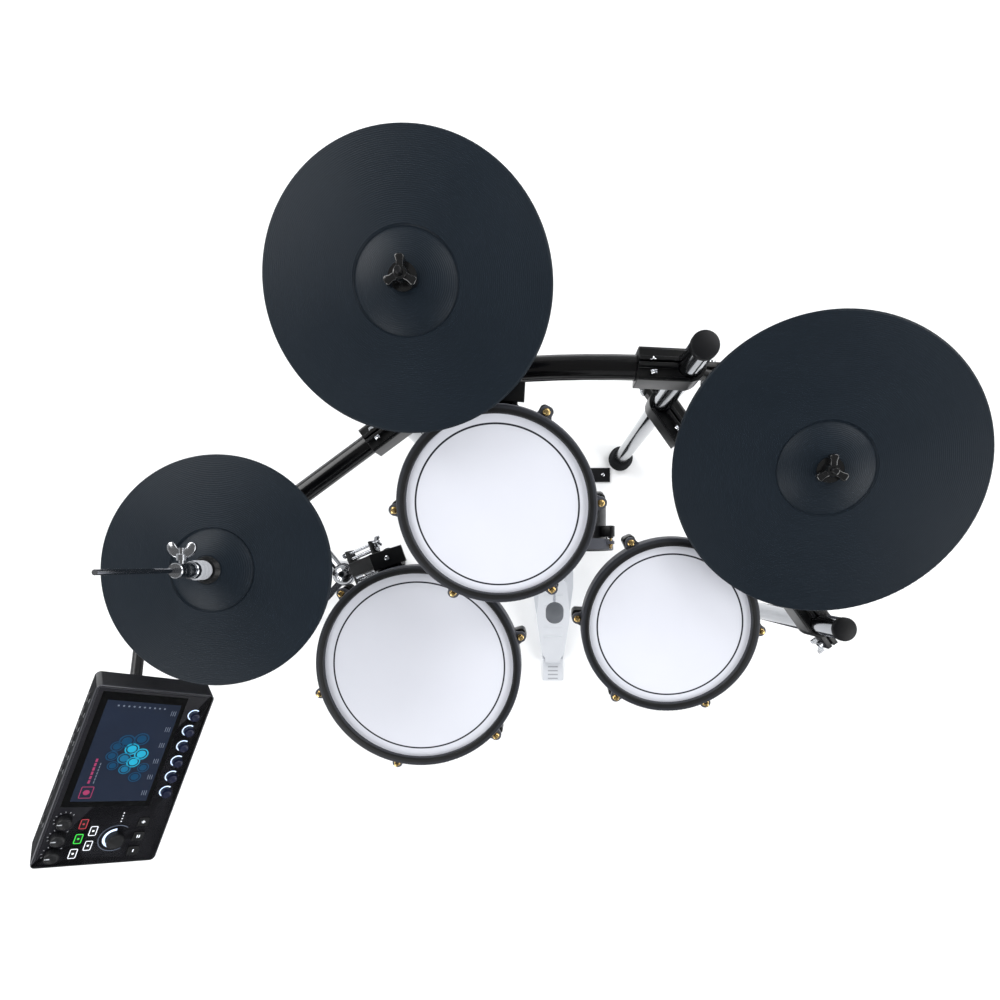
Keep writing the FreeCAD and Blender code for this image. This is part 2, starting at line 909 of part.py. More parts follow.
# Tilt knuckles: a tab on the part that tilts, between the cheeks of a fork on the arm.
# In a knuckle's own frame X points out of the part, Y is the pin and the wall is at X = 0.
def make_tab(name, place, sink):
    """Rounded tab that stands out of a wall, bored for the pin."""
    body = new_body(name, place)
    reach = d.knuckle_reach
    radius = d.knuckle_radius
    add_pad(body, d.knuckle_width, role="XZ_Plane", both_ways=True, loops=[[
        (-sink, -radius), (reach, -radius), (reach + radius, 0, radius, 1),
        (reach, radius, radius, 1), (-sink, radius),
    ]], circles=[(reach, 0, d.pin_radius + d.pin_clearance)])
    return body


def fork_hub(place):
    """Centre of the hub behind a fork."""
    return place.multVec(Vector(float(d.knuckle_reach + d.hub_reach), 0, 0))


def make_fork(name, place, arm_way):
    """Fork pieces round a tab: two cheeks, the pin and the hub that the arm runs into."""
    reach = d.knuckle_reach
    inner = d.knuckle_width / 2 + d.cheek_clearance
    outer = inner + d.cheek_thickness
    hub_x = reach + d.hub_reach
    cheek_loop = [
        (hub_x, -d.cheek_radius), (hub_x, d.cheek_radius),
        (reach, d.cheek_radius), (reach - d.cheek_radius, 0, d.cheek_radius, 1),
        (reach, -d.cheek_radius, d.cheek_radius, 1),
    ]
    pieces = []
    for side, lift in (("near", inner), ("far", -outer)):
        cheek = new_body(f"{name}_{side}_cheek", place.multiply(turned(X_AXIS, QUARTER_TURN)))
        add_pad(cheek, d.cheek_thickness, lift=lift, loops=[cheek_loop])
        pieces.append(cheek)
    pin_half = outer + d.pin_proud
    pin_place = place.multiply(at(reach, -pin_half, 0)).multiply(turned(X_AXIS, -QUARTER_TURN))
    pieces.append(cylinder(f"{name}_pin", d.pin_radius, pin_half * 2, pin_place))
    bridge_x = hub_x - d.hub_radius / 2
    pieces.append(block(
        f"{name}_bridge", (bridge_x, -outer, -d.cheek_radius), (hub_x, outer, d.cheek_radius), place,
    ))
    pieces.append(ball(f"{name}_hub", d.hub_radius, fork_hub(place), arm_way))
    return pieces


def make_cover(name, place):
    """Flat steel plate that bridges the cheeks of a fork from above."""
    start = d.knuckle_reach + d.cover_start
    base = d.cheek_radius - d.cover_sink
    half = d.cover_width / 2
    return block(
        name, (start, -half, base), (start + d.cover_depth, half, base + d.cover_thickness), place,
    )


# Mesh pads
PADS = ("snare", "rack_tom", "floor_tom")


def of_pad(pad, what):
    """Sheet size that belongs to one pad."""
    return getattr(d, f"{pad}_{what}")


def pad_place(pad):
    """Frame of a pad: origin at the centre of its head, Z out of the head."""
    if pad == "kick":
        centre = at(0, d.kick_face_y, d.kick_z)
        return centre.multiply(turned(X_AXIS, QUARTER_TURN))
    centre = at(of_pad(pad, "x"), of_pad(pad, "y"), of_pad(pad, "z"))
    return centre.multiply(turned(X_AXIS, of_pad(pad, "tilt")))


def knuckle_place(pad):
    """Frame of a pad's tilt knuckle on the wall of its shell."""
    wall = of_pad(pad, "head_radius") - d.shell_inset
    turn = turned(Z_AXIS, of_pad(pad, "mount_turn"))
    return pad_place(pad).multiply(turn).multiply(at(wall, 0, -d.tab_depth))


def make_shell(pad):
    """Moulded cup with a rounded foot, open under the head, with its mounting tab."""
    wall = of_pad(pad, "head_radius") - d.shell_inset
    inside = wall - d.shell_wall
    depth = of_pad(pad, "depth")
    top = -(d.head_skin + d.seat_clearance)
    cup = revolve(f"{pad}_cup", [
        (wall, top), (inside, top), (inside, d.shell_floor - depth), (0, d.shell_floor - depth),
        (0, -depth), (wall - d.shell_round, -depth), (wall, d.shell_round - depth, d.shell_round, 1),
    ], pad_place(pad))
    if pad == "kick":
        return keep("kick_shell", cup)
    tab = make_tab(f"{pad}_tab", knuckle_place(pad), d.shell_wall / 2)
    return keep(f"{pad}_shell", fused(f"{pad}_shell_with_tab", [cup, tab]))


def make_head(pad):
    """Mesh skin with its flesh ring turned down at the edge."""
    radius = of_pad(pad, "head_radius")
    inner = radius + d.flesh_inset
    outer = radius + d.flesh_width
    head = revolve(f"{pad}_skin", [
        (outer, 0), (0, 0), (0, -d.head_skin), (inner, -d.head_skin),
        (inner, -d.flesh_height), (outer, -d.flesh_height),
    ], pad_place(pad))
    return keep(f"{pad}_head", head)


def rod_circle(pad):
    """Radius at which the tension rods stand."""
    return of_pad(pad, "head_radius") + d.hoop_width + d.rod_offset


def make_hoop(pad):
    """Rubber-covered hoop with rounded lip and six bored ears."""
    radius = of_pad(pad, "head_radius")
    inner = radius + d.seat_clearance
    outer = radius + d.hoop_width
    skirt = outer - d.hoop_wall
    lip = d.hoop_lip
    soft = d.hoop_round
    place = pad_place(pad).multiply(turned(Z_AXIS, of_pad(pad, "lug_turn")))
    hoop = revolve(f"{pad}_ring", [
        (skirt, d.seat_clearance), (skirt, -d.hoop_drop), (outer, -d.hoop_drop), (outer, lip - soft),
        (outer - soft, lip, soft, 1), (inner + soft, lip), (inner, lip - soft, soft, 1),
        (inner, d.seat_clearance),
    ], place)
    rods = rod_circle(pad)
    tip = d.ear_tip_radius
    ear = add_pad(
        hoop, d.hoop_ear_height, lift=-d.hoop_ear_drop,
        loops=[[
            (skirt + d.hoop_wall / 2, -d.ear_root_half), (rods, -tip), (rods + tip, 0, tip, 1),
            (rods, tip, tip, 1), (skirt + d.hoop_wall / 2, d.ear_root_half),
        ]],
        circles=[(rods, 0, d.rod_radius + d.rod_clearance)],
    )
    add_ring_copies(hoop, [ear], d.lug_count)
    return keep(f"{pad}_hoop", hoop)


def make_lugs(pad):
    """Six lug blocks on the shell, each with the tension rod that pulls the hoop down."""
    wall = of_pad(pad, "head_radius") - d.shell_inset + d.bolt_clearance
    place = pad_place(pad).multiply(turned(Z_AXIS, of_pad(pad, "lug_turn")))
    rods = rod_circle(pad)
    half = d.lug_width / 2
    end = rods + half - d.lug_round / 2
    lugs = new_body(f"{pad}_lug", place)
    lug = add_pad(lugs, d.lug_bottom - d.lug_top, lift=-d.lug_bottom, loops=[[
        (wall, -half), (end - d.lug_round, -half), (end, d.lug_round - half, d.lug_round, 1),
        (end, half - d.lug_round), (end - d.lug_round, half, d.lug_round, 1), (wall, half),
    ]])
    add_ring_copies(lugs, [lug], d.lug_count)
    head_seat = d.hoop_ear_height - d.hoop_ear_drop
    tension_rods = new_body(f"{pad}_rod", place)
    rod_stem = add_pad(
        tension_rods, d.lug_top + head_seat, lift=-d.lug_top, circles=[(rods, 0, d.rod_radius)],
    )
    rod_head = add_pad(
        tension_rods, d.rod_head_height, lift=head_seat, circles=[(rods, 0, d.rod_head_radius)],
    )
    add_ring_copies(tension_rods, [rod_stem, rod_head], d.lug_count)
    return keep(f"{pad}_lugs", group(f"{pad}_lug_set", [lugs, tension_rods]))


def make_trigger(pad):
    """Sensor post on the shell floor and the foam cone that reaches up to the head."""
    floor = d.shell_floor - of_pad(pad, "depth") + d.plug_clearance
    top = -(d.head_skin + d.seat_clearance)
    neck = top - d.foam_height
    plate = floor + d.sensor_plate_height
    post = revolve(f"{pad}_sensor_post", [
        (d.sensor_plate_radius, floor), (d.sensor_plate_radius, plate), (d.sensor_post_radius, plate),
        (d.sensor_post_radius, neck), (0, neck), (0, floor),
    ], pad_place(pad))
    foam = revolve(f"{pad}_foam", [
        (d.sensor_post_radius, neck), (d.foam_tip_radius, top), (0, top), (0, neck),
    ], pad_place(pad))
    return keep(f"{pad}_trigger", group(f"{pad}_trigger_set", [post, foam]))


def make_pad(pad):
    """All pieces of one mesh pad."""
    make_shell(pad)
    make_hoop(pad)
    make_head(pad)
    make_lugs(pad)
    if pad != "kick":
        make_trigger(pad)


def make_adjuster(start, stop):
    """Adjuster round the snare arm: a sleeve between two plates, joined by two rods and a long bolt."""
    way = stop - start
    place = aimed(start, way, way.cross(Z_AXIS))
    low = d.adjuster_start
    high = low + d.adjuster_length
    half_width = d.adjuster_width / 2
    half_height = d.adjuster_height / 2
    pieces = [block(
        "adjuster_sleeve", (-half_width, -half_height, low), (half_width, half_height, high), place,
    )]
    reach = d.adjuster_plate_reach
    rise = d.adjuster_plate_height / 2
    for name, base in (("near", low), ("far", high - d.adjuster_plate)):
        pieces.append(block(
            f"adjuster_{name}_plate", (-reach, -rise, base), (reach, rise, base + d.adjuster_plate), place,
        ))
    shafts = (
        ("inner_rod", d.adjuster_rod_offset, d.adjuster_rod_radius, d.adjuster_rod_proud),
        ("outer_rod", -d.adjuster_rod_offset, d.adjuster_rod_radius, d.adjuster_rod_proud),
        ("bolt", -d.adjuster_bolt_offset, d.adjuster_bolt_radius, d.adjuster_bolt_proud),
    )
    for name, offset, radius, proud in shafts:
        shaft_place = place.multiply(at(offset, 0, low - proud))
        pieces.append(cylinder(f"adjuster_{name}", radius, d.adjuster_length + proud * 2, shaft_place))
    return pieces


def make_pad_arms():
    """Arms of the three pads, from their bar clamps to the forks at the shells."""
    arms = []
    for pad in PADS:
        hub = fork_hub(knuckle_place(pad))
        links = []
        target = hub
        if pad == "rack_tom":
            bar_point, bar_way = nearest_on_rear_bar(hub)
        elif pad == "floor_tom":
            bar_point, bar_way = nearest_on_side_bar("rear_right", "right", hub)
        else:
            target = Vector(float(d.snare_ball_x), float(d.snare_ball_y), float(d.snare_ball_z))
            start, stop, bar_way = bar_ends("rear_left", "left", d.side_bar_height)
            bar_point = start + bar_way * float(d.snare_clamp_along)
            links.append(ball(f"{pad}_arm_ball", d.snare_ball_radius, target, hub - target))
            links.append(rod(f"{pad}_arm_link", d.arm_radius, target, hub))
            links += make_adjuster(target, hub)
        grip = arm_clamp(f"{pad}_arm", bar_point, bar_way, target)
        links.append(rod(f"{pad}_arm_rod", d.arm_radius, grip, target))
        last_way = hub - (target if pad == "snare" else grip)
        links.append(make_cover(f"{pad}_cover", knuckle_place(pad)))
        fork = make_fork(f"{pad}_fork", knuckle_place(pad), last_way)
        arms.append(fused(f"{pad}_arm", fork + links))
    return arms


# Cymbal pads
def lean_place(cymbal):
    """Frame of a cymbal pad: origin at the middle of its edge, Z out of the bell."""
    centre = at(of_pad(cymbal, "x"), of_pad(cymbal, "y"), of_pad(cymbal, "z"))
    if cymbal == "hihat":
        return centre
    lean = math.radians(of_pad(cymbal, "lean").number)
    hinge = Vector(-math.sin(lean), math.cos(lean), 0)
    return centre.multiply(turned(hinge, of_pad(cymbal, "tilt")))


def make_cymbal_pad(cymbal):
    """Rubber pad with a bowed face, a stepped bell and a jack box moulded underneath."""
    edge = of_pad(cymbal, "radius")
    bell = of_pad(cymbal, "bell_radius")
    thick = d.pad_thickness
    soft = d.pad_edge_round
    bell_foot = bell - d.bell_step
    bow_radius = edge * d.bow_curve
    bell_radius = bell * d.bell_curve
    body = revolve(f"{cymbal}_disc", [
        (edge, 0, soft, -1), (edge - soft, -soft, soft, -1), (bell, d.bow_rise - thick),
        (d.bell_top_radius, d.bell_rise - thick), (d.pad_hole_radius, d.bell_rise - thick),
        (d.pad_hole_radius, d.bell_rise), (d.bell_top_radius, d.bell_rise),
        (bell_foot, d.bow_rise - d.bell_step, bell_radius, -1), (bell, d.bow_rise),
        (edge - soft, soft, bow_radius, -1),
    ], lean_place(cymbal))
    near = d.jack_box_radius - d.jack_box_width / 2
    far = d.jack_box_radius + d.jack_box_width / 2
    half = d.jack_box_length / 2
    low = d.bow_rise - thick - d.jack_box_height
    add_pad(body, d.jack_box_height, lift=low, loops=[rectangle(-half, near, half, far)])
    return keep(f"{cymbal}_pad", body)


def make_wing_nut():
    """Three-wing grip nut, with its underside at Z = 0."""
    stem_fit = d.stem_radius + d.plug_clearance
    body = revolve("grip_nut", [
        (d.nut_radius, 0), (d.nut_radius, d.nut_height), (stem_fit, d.nut_height), (stem_fit, 0),
    ])
    half = d.nut_wing_width / 2
    wing = add_pad(body, d.nut_height, lift=0, loops=[[
        (d.nut_radius - half / 2, -half), (d.nut_wing_reach - half, -half),
        (d.nut_wing_reach, 0, half, 1), (d.nut_wing_reach - half, half, half, 1),
        (d.nut_radius - half / 2, half),
    ]])
    add_ring_copies(body, [wing], d.nut_wing_count)
    return body


def make_cymbal_stands():
    """Two leaning arms with their tilters and stems, and the seats and nuts on the stems."""
    arms = []
    fittings = []
    grip_nut = make_wing_nut()
    under = d.bell_rise - d.pad_thickness - d.seat_gap
    over = d.bell_rise + d.seat_gap
    nut_base = over + d.washer_height
    sleeve_fit = d.sleeve_radius + d.plug_clearance
    stem_fit = d.stem_radius + d.plug_clearance
    seat_loop = [
        (d.seat_radius, under - d.seat_height), (d.seat_radius, under - d.seat_height / 2),
        (d.seat_top_radius, under), (sleeve_fit, under), (sleeve_fit, under - d.seat_height),
    ]
    washer_loop = [
        (d.seat_radius, nut_base), (stem_fit, nut_base), (stem_fit, over),
        (d.seat_top_radius, over), (d.seat_radius, over + d.washer_height / 2),
    ]
    for cymbal in ("crash", "ride"):
        place = lean_place(cymbal)
        pivot = place.multVec(Vector(0, 0, -d.tilter_drop.number))
        if cymbal == "crash":
            bar_point, bar_way = nearest_on_rear_bar(pivot)
        else:
            bar_point, bar_way = nearest_on_side_bar("rear_right", "right", pivot)
        grip = arm_clamp(f"{cymbal}_arm", bar_point, bar_way, pivot)
        half = d.tilter_length / 2
        drum_place = place.multiply(at(-half, 0, -d.tilter_drop)).multiply(turned(Y_AXIS, QUARTER_TURN))
        stem_top = nut_base + d.stem_rise
        arms.append(fused(f"{cymbal}_arm", [
            rod(f"{cymbal}_arm_rod", d.arm_radius, grip, pivot),
            cylinder(f"{cymbal}_tilter", d.tilter_radius, d.tilter_length, drum_place),
            cylinder(f"{cymbal}_stem", d.stem_radius, stem_top + d.tilter_drop,
                     place.multiply(at(0, 0, -d.tilter_drop))),
            cylinder(f"{cymbal}_sleeve", d.sleeve_radius, d.tilter_drop + over,
                     place.multiply(at(0, 0, -d.tilter_drop))),
            cylinder(f"{cymbal}_stem_post", d.arm_radius, d.tilter_drop + under - d.seat_height,
                     place.multiply(at(0, 0, -d.tilter_drop))),
        ]))
        fittings.append(revolve(f"{cymbal}_seat", seat_loop, place))
        fittings.append(revolve(f"{cymbal}_washer", washer_loop, place))
        fittings.append(copy_at(f"{cymbal}_nut", grip_nut, place.multiply(at(0, 0, nut_base))))
    keep("cymbal_arms", group("cymbal_arm_set", arms))
    keep("cymbal_nuts", group("cymbal_nut_set", fittings))


# Hi-hat stand
def hihat_at(height):
    """Place on the hi-hat's axis."""
    return at(d.hihat_x, d.hihat_y, height)


def hihat_point(x, y, z):
    """Point measured from the foot of the hi-hat's axis."""
    return Vector(float(d.hihat_x) + float(x), float(d.hihat_y) + float(y), float(z))


def make_hihat_stand():
    """Telescoping tube with its height collar and the pedal sensor seat on top."""
    bore = d.stand_bore
    seat_low = d.hihat_z - d.seat_drop
    lower_top = seat_low - d.upper_tube_length
    collar_low = lower_top - d.collar_height / 2
    lower = hollow_tube(
        "hihat_lower_tube", d.lower_tube_radius, bore, lower_top - d.lower_tube_base, hihat_at(d.lower_tube_base),
    )
    upper = hollow_tube("hihat_upper_tube", d.upper_tube_radius, bore, d.upper_tube_length, hihat_at(lower_top))
    wide = d.lower_tube_radius + d.plug_clearance
    narrow = d.upper_tube_radius + d.plug_clearance
    shoulder = lower_top + d.plug_clearance
    collar_top = collar_low + d.collar_height
    collar = revolve("hihat_collar", [
        (d.collar_radius, collar_low), (d.collar_radius, collar_top), (narrow, collar_top),
        (narrow, shoulder), (wide, shoulder), (wide, collar_low),
    ], hihat_at(0))
    seat_top = seat_low + d.sensor_seat_height
    rod_fit = d.pull_rod_radius + d.pull_rod_clearance
    seat = revolve("hihat_sensor", [
        (d.sensor_seat_radius, seat_low + d.sensor_seat_height / 2), (d.sensor_seat_top_radius, seat_top),
        (rod_fit, seat_top), (rod_fit, seat_low), (d.sensor_seat_base_radius, seat_low),
    ], hihat_at(0))
    keep("hihat_stand", group("hihat_stand_set", [lower, upper, collar, seat]))


def make_hihat_base():
    """Base block, floor frame with the heel plate, two splayed legs with rubber feet."""
    half = d.base_block_size / 2
    frame_half = d.base_frame_width / 2
    thick = d.base_frame_thickness
    heel = d.hihat_heel_y
    heel_half = d.heel_width / 2
    frame = new_body("hihat_frame", hihat_at(0))
    add_pad(frame, thick, loops=[[
        (frame_half, half), (-frame_half, half), (-frame_half, heel), (-heel_half, heel - d.heel_length),
        (heel_half, heel - d.heel_length), (frame_half, heel),
    ]])
    add_pad(frame, d.lower_tube_base - thick, lift=thick, loops=[rectangle(-half, -half, half, half)],
            circles=[(0, 0, d.stand_bore)])
    hinge_half = d.heel_width / 2
    bearing = fused("hihat_base", [frame] + heel_bearing("hihat", hihat_at(0), heel, thick, hinge_half))
    ring = revolve("hihat_leg_ring", [
        (d.collar_radius, d.leg_collar_height),
        (d.collar_radius, d.leg_collar_height + d.leg_collar_length),
        (d.lower_tube_radius + d.plug_clearance, d.leg_collar_height + d.leg_collar_length),
        (d.lower_tube_radius + d.plug_clearance, d.leg_collar_height),
    ], hihat_at(0))
    pieces = [bearing, ring]
    top = d.leg_collar_height + d.leg_collar_length / 2
    for name, side in (("left", -1), ("right", 1)):
        end = hihat_point(side * float(d.leg_spread), -d.leg_forward, d.leg_foot_height / 2)
        start = hihat_point(0, 0, top)
        leg = rod(f"hihat_{name}_leg_bar", d.leg_radius, start, end)
        room = cylinder(
            f"hihat_{name}_leg_room", d.collar_radius + d.seat_clearance, d.leg_collar_length * 3,
            hihat_at(d.leg_collar_height - d.leg_collar_length),
        )
        pieces.append(cut(f"hihat_{name}_leg", leg, room))
        foot_place = at(end.x, end.y, 0)
        foot = revolve(f"hihat_{name}_foot", [
            (d.leg_foot_radius, 0), (d.leg_foot_radius, d.leg_foot_shoulder),
            (d.leg_foot_top_radius, d.leg_foot_height), (0, d.leg_foot_height), (0, 0),
        ], foot_place)
        bore = rod(f"hihat_{name}_foot_bore", d.leg_radius + d.plug_clearance, end, start)
        end_room = ball(f"hihat_{name}_foot_room", d.leg_radius + d.plug_clearance, end, start - end)
        pieces.append(cut(f"hihat_{name}_boot", foot, fused(f"hihat_{name}_boot_room", [bore, end_room])))
    keep("hihat_legs", group("hihat_leg_set", pieces))


def heel_bearing(name, place, heel_y, base, half_width):
    """Two bored cheeks on the heel plate, either side of the footboard's hinge barrel."""
    pieces = []
    inner = half_width - d.cheek_thickness
    height = d.board_hinge_height
    for side, low, high in (("left", -half_width, -inner), ("right", inner, half_width)):
        pieces.append(block(
            f"{name}_{side}_bearing",
            (low, heel_y - d.board_hinge_radius, base),
            (high, heel_y + d.board_hinge_radius, height + d.board_hinge_radius),
            place,
        ))
    pin_place = place.multiply(at(-half_width, heel_y, height)).multiply(turned(Y_AXIS, QUARTER_TURN))
    pieces.append(cylinder(f"{name}_heel_pin", d.board_hinge_radius / 2, half_width * 2, pin_place))
    return pieces


BOARD_RIBS = 5


def make_footboard(name, place, rise):
    """Waisted footboard with anti-slip ribs, hinged at the heel; X is the hinge and Y runs to the toe."""
    barrel_half = d.heel_width / 2 - d.cheek_thickness - d.cheek_clearance
    toe = d.board_toe_width / 2
    waist = d.board_waist_width / 2
    wide = d.board_wide_width / 2
    length = d.board_length
    body = new_body(name, place.multiply(turned(X_AXIS, rise)))
    start = d.board_hinge_radius * 2
    wide_at = length * d.board_wide_share
    add_pad(body, d.board_thickness, loops=[[
        (barrel_half, 0), (barrel_half, start), (waist, start * 2), (wide, wide_at), (toe, length - toe / 2),
        (toe / 2, length), (-toe / 2, length), (-toe, length - toe / 2), (-wide, wide_at),
        (-waist, start * 2), (-barrel_half, start), (-barrel_half, 0),
    ]])
    rib_half = d.board_rib_length / 2
    for step in range(BOARD_RIBS):
        low = length * (d.board_rib_first + d.board_rib_step * step)
        rib = rectangle(-rib_half, low, rib_half, low + d.board_rib_width)
        add_pad(body, d.board_rib_height, lift=d.board_thickness, loops=[rib])
    barrel = new_body(f"{name}_barrel", place)
    add_pad(barrel, barrel_half * 2, role="YZ_Plane", both_ways=True,
            circles=[(0, 0, d.board_hinge_radius)])
    hole = new_body(f"{name}_hole", place)
    add_pad(hole, barrel_half * 4, role="YZ_Plane", both_ways=True,
            circles=[(0, 0, d.board_hinge_radius / 2 + d.axle_clearance)])
    return cut(f"{name}_bored", fused(f"{name}_solid", [body, barrel]), hole)


def make_hihat_moving():
    """Pull rod with its clevis, the clutch with its felts, and the footboard."""
    bell_top = d.hihat_z + d.bell_rise
    bell_low = bell_top - d.pad_thickness
    washer_top = bell_top + d.base_washer_height
    felt_low = washer_top + d.clutch_nut_height
    felt_top = felt_low + d.felt_height
    clutch_low = felt_top + d.lock_nut_height
    clutch_top = clutch_low + d.clutch_length
    clevis_half = d.clevis_size / 2
    clevis_low = d.clevis_base
    rod_length = clutch_top + d.pull_rod_over - clevis_low
    pull_rod = fused("hihat_pull_rod", [
        cylinder("hihat_rod_bar", d.pull_rod_radius, rod_length, hihat_at(clevis_low)),
        block("hihat_rod_clevis", (-clevis_half / 2, -clevis_half / 2, clevis_low),
              (clevis_half / 2, clevis_half / 2, clevis_low + d.clevis_size), hihat_at(0)),
    ])
    keep("hihat_rod", pull_rod)
    bore = d.pull_rod_radius + d.pull_rod_clearance
    sleeve = d.clutch_sleeve_radius
    clutch = revolve("hihat_clutch_tube", [
        (d.clutch_radius, clutch_low), (d.clutch_radius, clutch_top), (bore, clutch_top),
        (bore, bell_low - d.clutch_nut_height), (d.clutch_nut_radius, bell_low - d.clutch_nut_height),
        (d.clutch_nut_radius, bell_low - d.plug_clearance), (sleeve, bell_low - d.plug_clearance),
        (sleeve, clutch_low),
    ], hihat_at(0))
    base_washer = revolve("hihat_base_washer", [
        (d.base_washer_radius, bell_top), (d.base_washer_top_radius, washer_top),
        (sleeve + d.plug_clearance, washer_top), (sleeve + d.plug_clearance, bell_top),
    ], hihat_at(0))
    felts = [
        revolve(f"hihat_felt_{index}", [
            (d.felt_radius, low), (d.felt_radius, high), (sleeve + d.plug_clearance, high),
            (sleeve + d.plug_clearance, low),
        ], hihat_at(0))
        for index, (low, high) in enumerate((
            (washer_top, felt_low), (felt_low, felt_top),
        ))
    ]
    nut = revolve("hihat_clutch_nut", [
        (d.clutch_radius, felt_top), (d.clutch_radius, clutch_low - d.plug_clearance),
        (sleeve + d.plug_clearance, clutch_low - d.plug_clearance), (sleeve + d.plug_clearance, felt_top),
    ], hihat_at(0))
    wing_height = (clutch_low + clutch_top) / 2
    wing_tip = d.clutch_radius + d.wing_span
    screw_end = hihat_point(0, wing_tip, wing_height)
    screw = fused("hihat_clutch_screw", [
        rod("hihat_screw_stem", d.bolt_radius, hihat_point(0, d.clutch_radius, wing_height), screw_end),
        block(
            "hihat_screw_wing",
            (-d.wing_span / 2, wing_tip - d.wing_thickness, wing_height - d.wing_thickness),
            (d.wing_span / 2, wing_tip + d.wing_thickness, wing_height + d.wing_thickness),
            hihat_at(0),
        ),
    ])
    keep("hihat_clutch", group("hihat_clutch_set", [clutch, base_washer, nut, screw] + felts))
    hinge = hihat_at(d.board_hinge_height).multiply(at(0, d.hihat_heel_y, 0))
    keep("hihat_footboard", make_footboard("hihat_board", hinge, d.hihat_board_rise))


# Kick pad tower and pedal
def make_kick_tower():
    """Flat steel base with a tongue for the pedal, and a ribbed upright behind the pad."""
    plate = d.tower_plate
    tongue = d.tower_tongue_width / 2
    body_half = d.tower_body_width / 2
    cross_half = d.tower_cross_width / 2
    cross_end = d.tower_cross_y + d.tower_cross_depth
    base = new_body("tower_base")
    add_pad(base, plate, loops=[[
        (tongue, d.tower_front), (tongue, d.tower_shoulder), (body_half, d.tower_shoulder + tongue),
        (body_half, d.tower_cross_y), (cross_half, d.tower_cross_y), (cross_half, cross_end),
        (-cross_half, cross_end), (-cross_half, d.tower_cross_y), (-body_half, d.tower_cross_y),
        (-body_half, d.tower_shoulder + tongue), (-tongue, d.tower_shoulder), (-tongue, d.tower_front),
    ]])
    back = d.kick_face_y + d.kick_depth
    half = d.tower_upright_width / 2
    top = d.tower_upright_height
    upright = block("tower_upright", (-half, back, 0), (half, back + plate, top))
    ribs = []
    for name, low in (("left", -half), ("right", half - plate)):
        rib = new_body(f"tower_{name}_rib", at(low, 0, 0))
        rib_back = back + d.tower_rib_depth
        add_pad(rib, plate, role="YZ_Plane", loops=[[
            (rib_back, plate / 2), (back + plate, d.tower_rib_height), (back + plate / 2, d.tower_rib_height),
            (back + plate / 2, plate / 2),
        ]])
        ribs.append(rib)
    keep("kick_tower", fused("tower", [base, upright] + ribs))


def make_pedal_frame():
    """Floor plate with a forked front, two bored uprights for the axle and the heel bearing."""
    gap = d.pedal_gap_width / 2
    outer = gap + d.pedal_prong_width
    heel = d.pedal_heel_y
    heel_half = d.heel_width / 2
    plate = d.pedal_plate
    base = new_body("pedal_base")
    add_pad(base, plate, loops=[[
        (outer, d.pedal_prong_front), (gap, d.pedal_prong_front), (gap, d.pedal_plate_front),
        (-gap, d.pedal_plate_front), (-gap, d.pedal_prong_front), (-outer, d.pedal_prong_front),
        (-outer, d.pedal_plate_front - gap), (-heel_half, heel), (-heel_half, heel - d.heel_length),
        (heel_half, heel - d.heel_length), (heel_half, heel), (outer, d.pedal_plate_front - gap),
    ]])
    pieces = [base]
    half = d.post_depth / 2
    head = d.axle_height
    for name, low in (("left", -(gap + d.post_thickness)), ("right", gap)):
        post = new_body(f"pedal_{name}_post", at(low, 0, 0))
        add_pad(post, d.post_thickness, role="YZ_Plane", loops=[[
            (half, 0), (half, head), (0, head + half, half, 1), (-half, head, half, 1), (-half, 0),
        ]], circles=[(0, head, d.axle_radius + d.axle_clearance)])
        pieces.append(post)
    jaw_base = d.tower_plate + d.seat_clearance
    jaw_front = d.tower_front + d.jaw_lap
    pieces.append(block(
        "pedal_jaw", (-gap - d.post_thickness / 2, jaw_front - d.jaw_depth, jaw_base),
        (gap + d.post_thickness / 2, jaw_front, jaw_base + d.jaw_height),
    ))
    pieces += heel_bearing("pedal", at(0, 0, 0), heel, plate, heel_half)
    keep("pedal_frame", fused("pedal_frame_solid", pieces))


def make_pedal_moving():
    """Footboard, and the axle with its cam, leaning rod and felt beater."""
    hinge = at(0, d.pedal_heel_y, d.board_hinge_height)
    keep("pedal_footboard", make_footboard("pedal_board", hinge, d.board_rise))
    half = d.pedal_gap_width / 2 + d.post_thickness
    axle_place = at(-half, 0, d.axle_height).multiply(turned(Y_AXIS, QUARTER_TURN))
    axle = cylinder("pedal_axle", d.axle_radius, half * 2, axle_place)
    cam_place = at(-d.cam_width / 2, 0, d.axle_height).multiply(turned(Y_AXIS, QUARTER_TURN))
    cam = cylinder("pedal_cam", d.cam_radius, d.cam_width, cam_place)
    lean = at(0, 0, d.axle_height).multiply(turned(X_AXIS, d.beater_lean))
    shaft = cylinder("beater_shaft", d.beater_rod_radius, d.beater_length, lean)
    head_end = at(0, d.beater_depth / 2, d.beater_length)
    head_place = lean.multiply(head_end).multiply(turned(X_AXIS, QUARTER_TURN))
    depth = d.beater_depth
    soft = d.beater_round
    felt = revolve("beater_felt", [
        (d.beater_radius - soft, 0), (d.beater_radius, soft, soft, 1), (d.beater_radius, depth - soft),
        (d.beater_radius - soft, depth, soft, 1), (0, depth), (0, 0),
    ], head_place)
    keep("pedal_beater", fused("beater", [axle, cam, shaft, felt]))


# Sound module, in its own frame: X along the panel, Y up its slope, Z out of its face
def module_place():
    """Frame of the module at the centre of its face."""
    centre = at(d.module_x, d.module_y, module_arm_height() + d.module_rise)
    turn = turned(Z_AXIS, d.module_turn)
    return centre.multiply(turn).multiply(turned(X_AXIS, d.module_slope))


def on_panel(left, top):
    """Panel position from the distances to its left end and its upper edge."""
    return left - d.module_length / 2, d.module_width / 2 - top


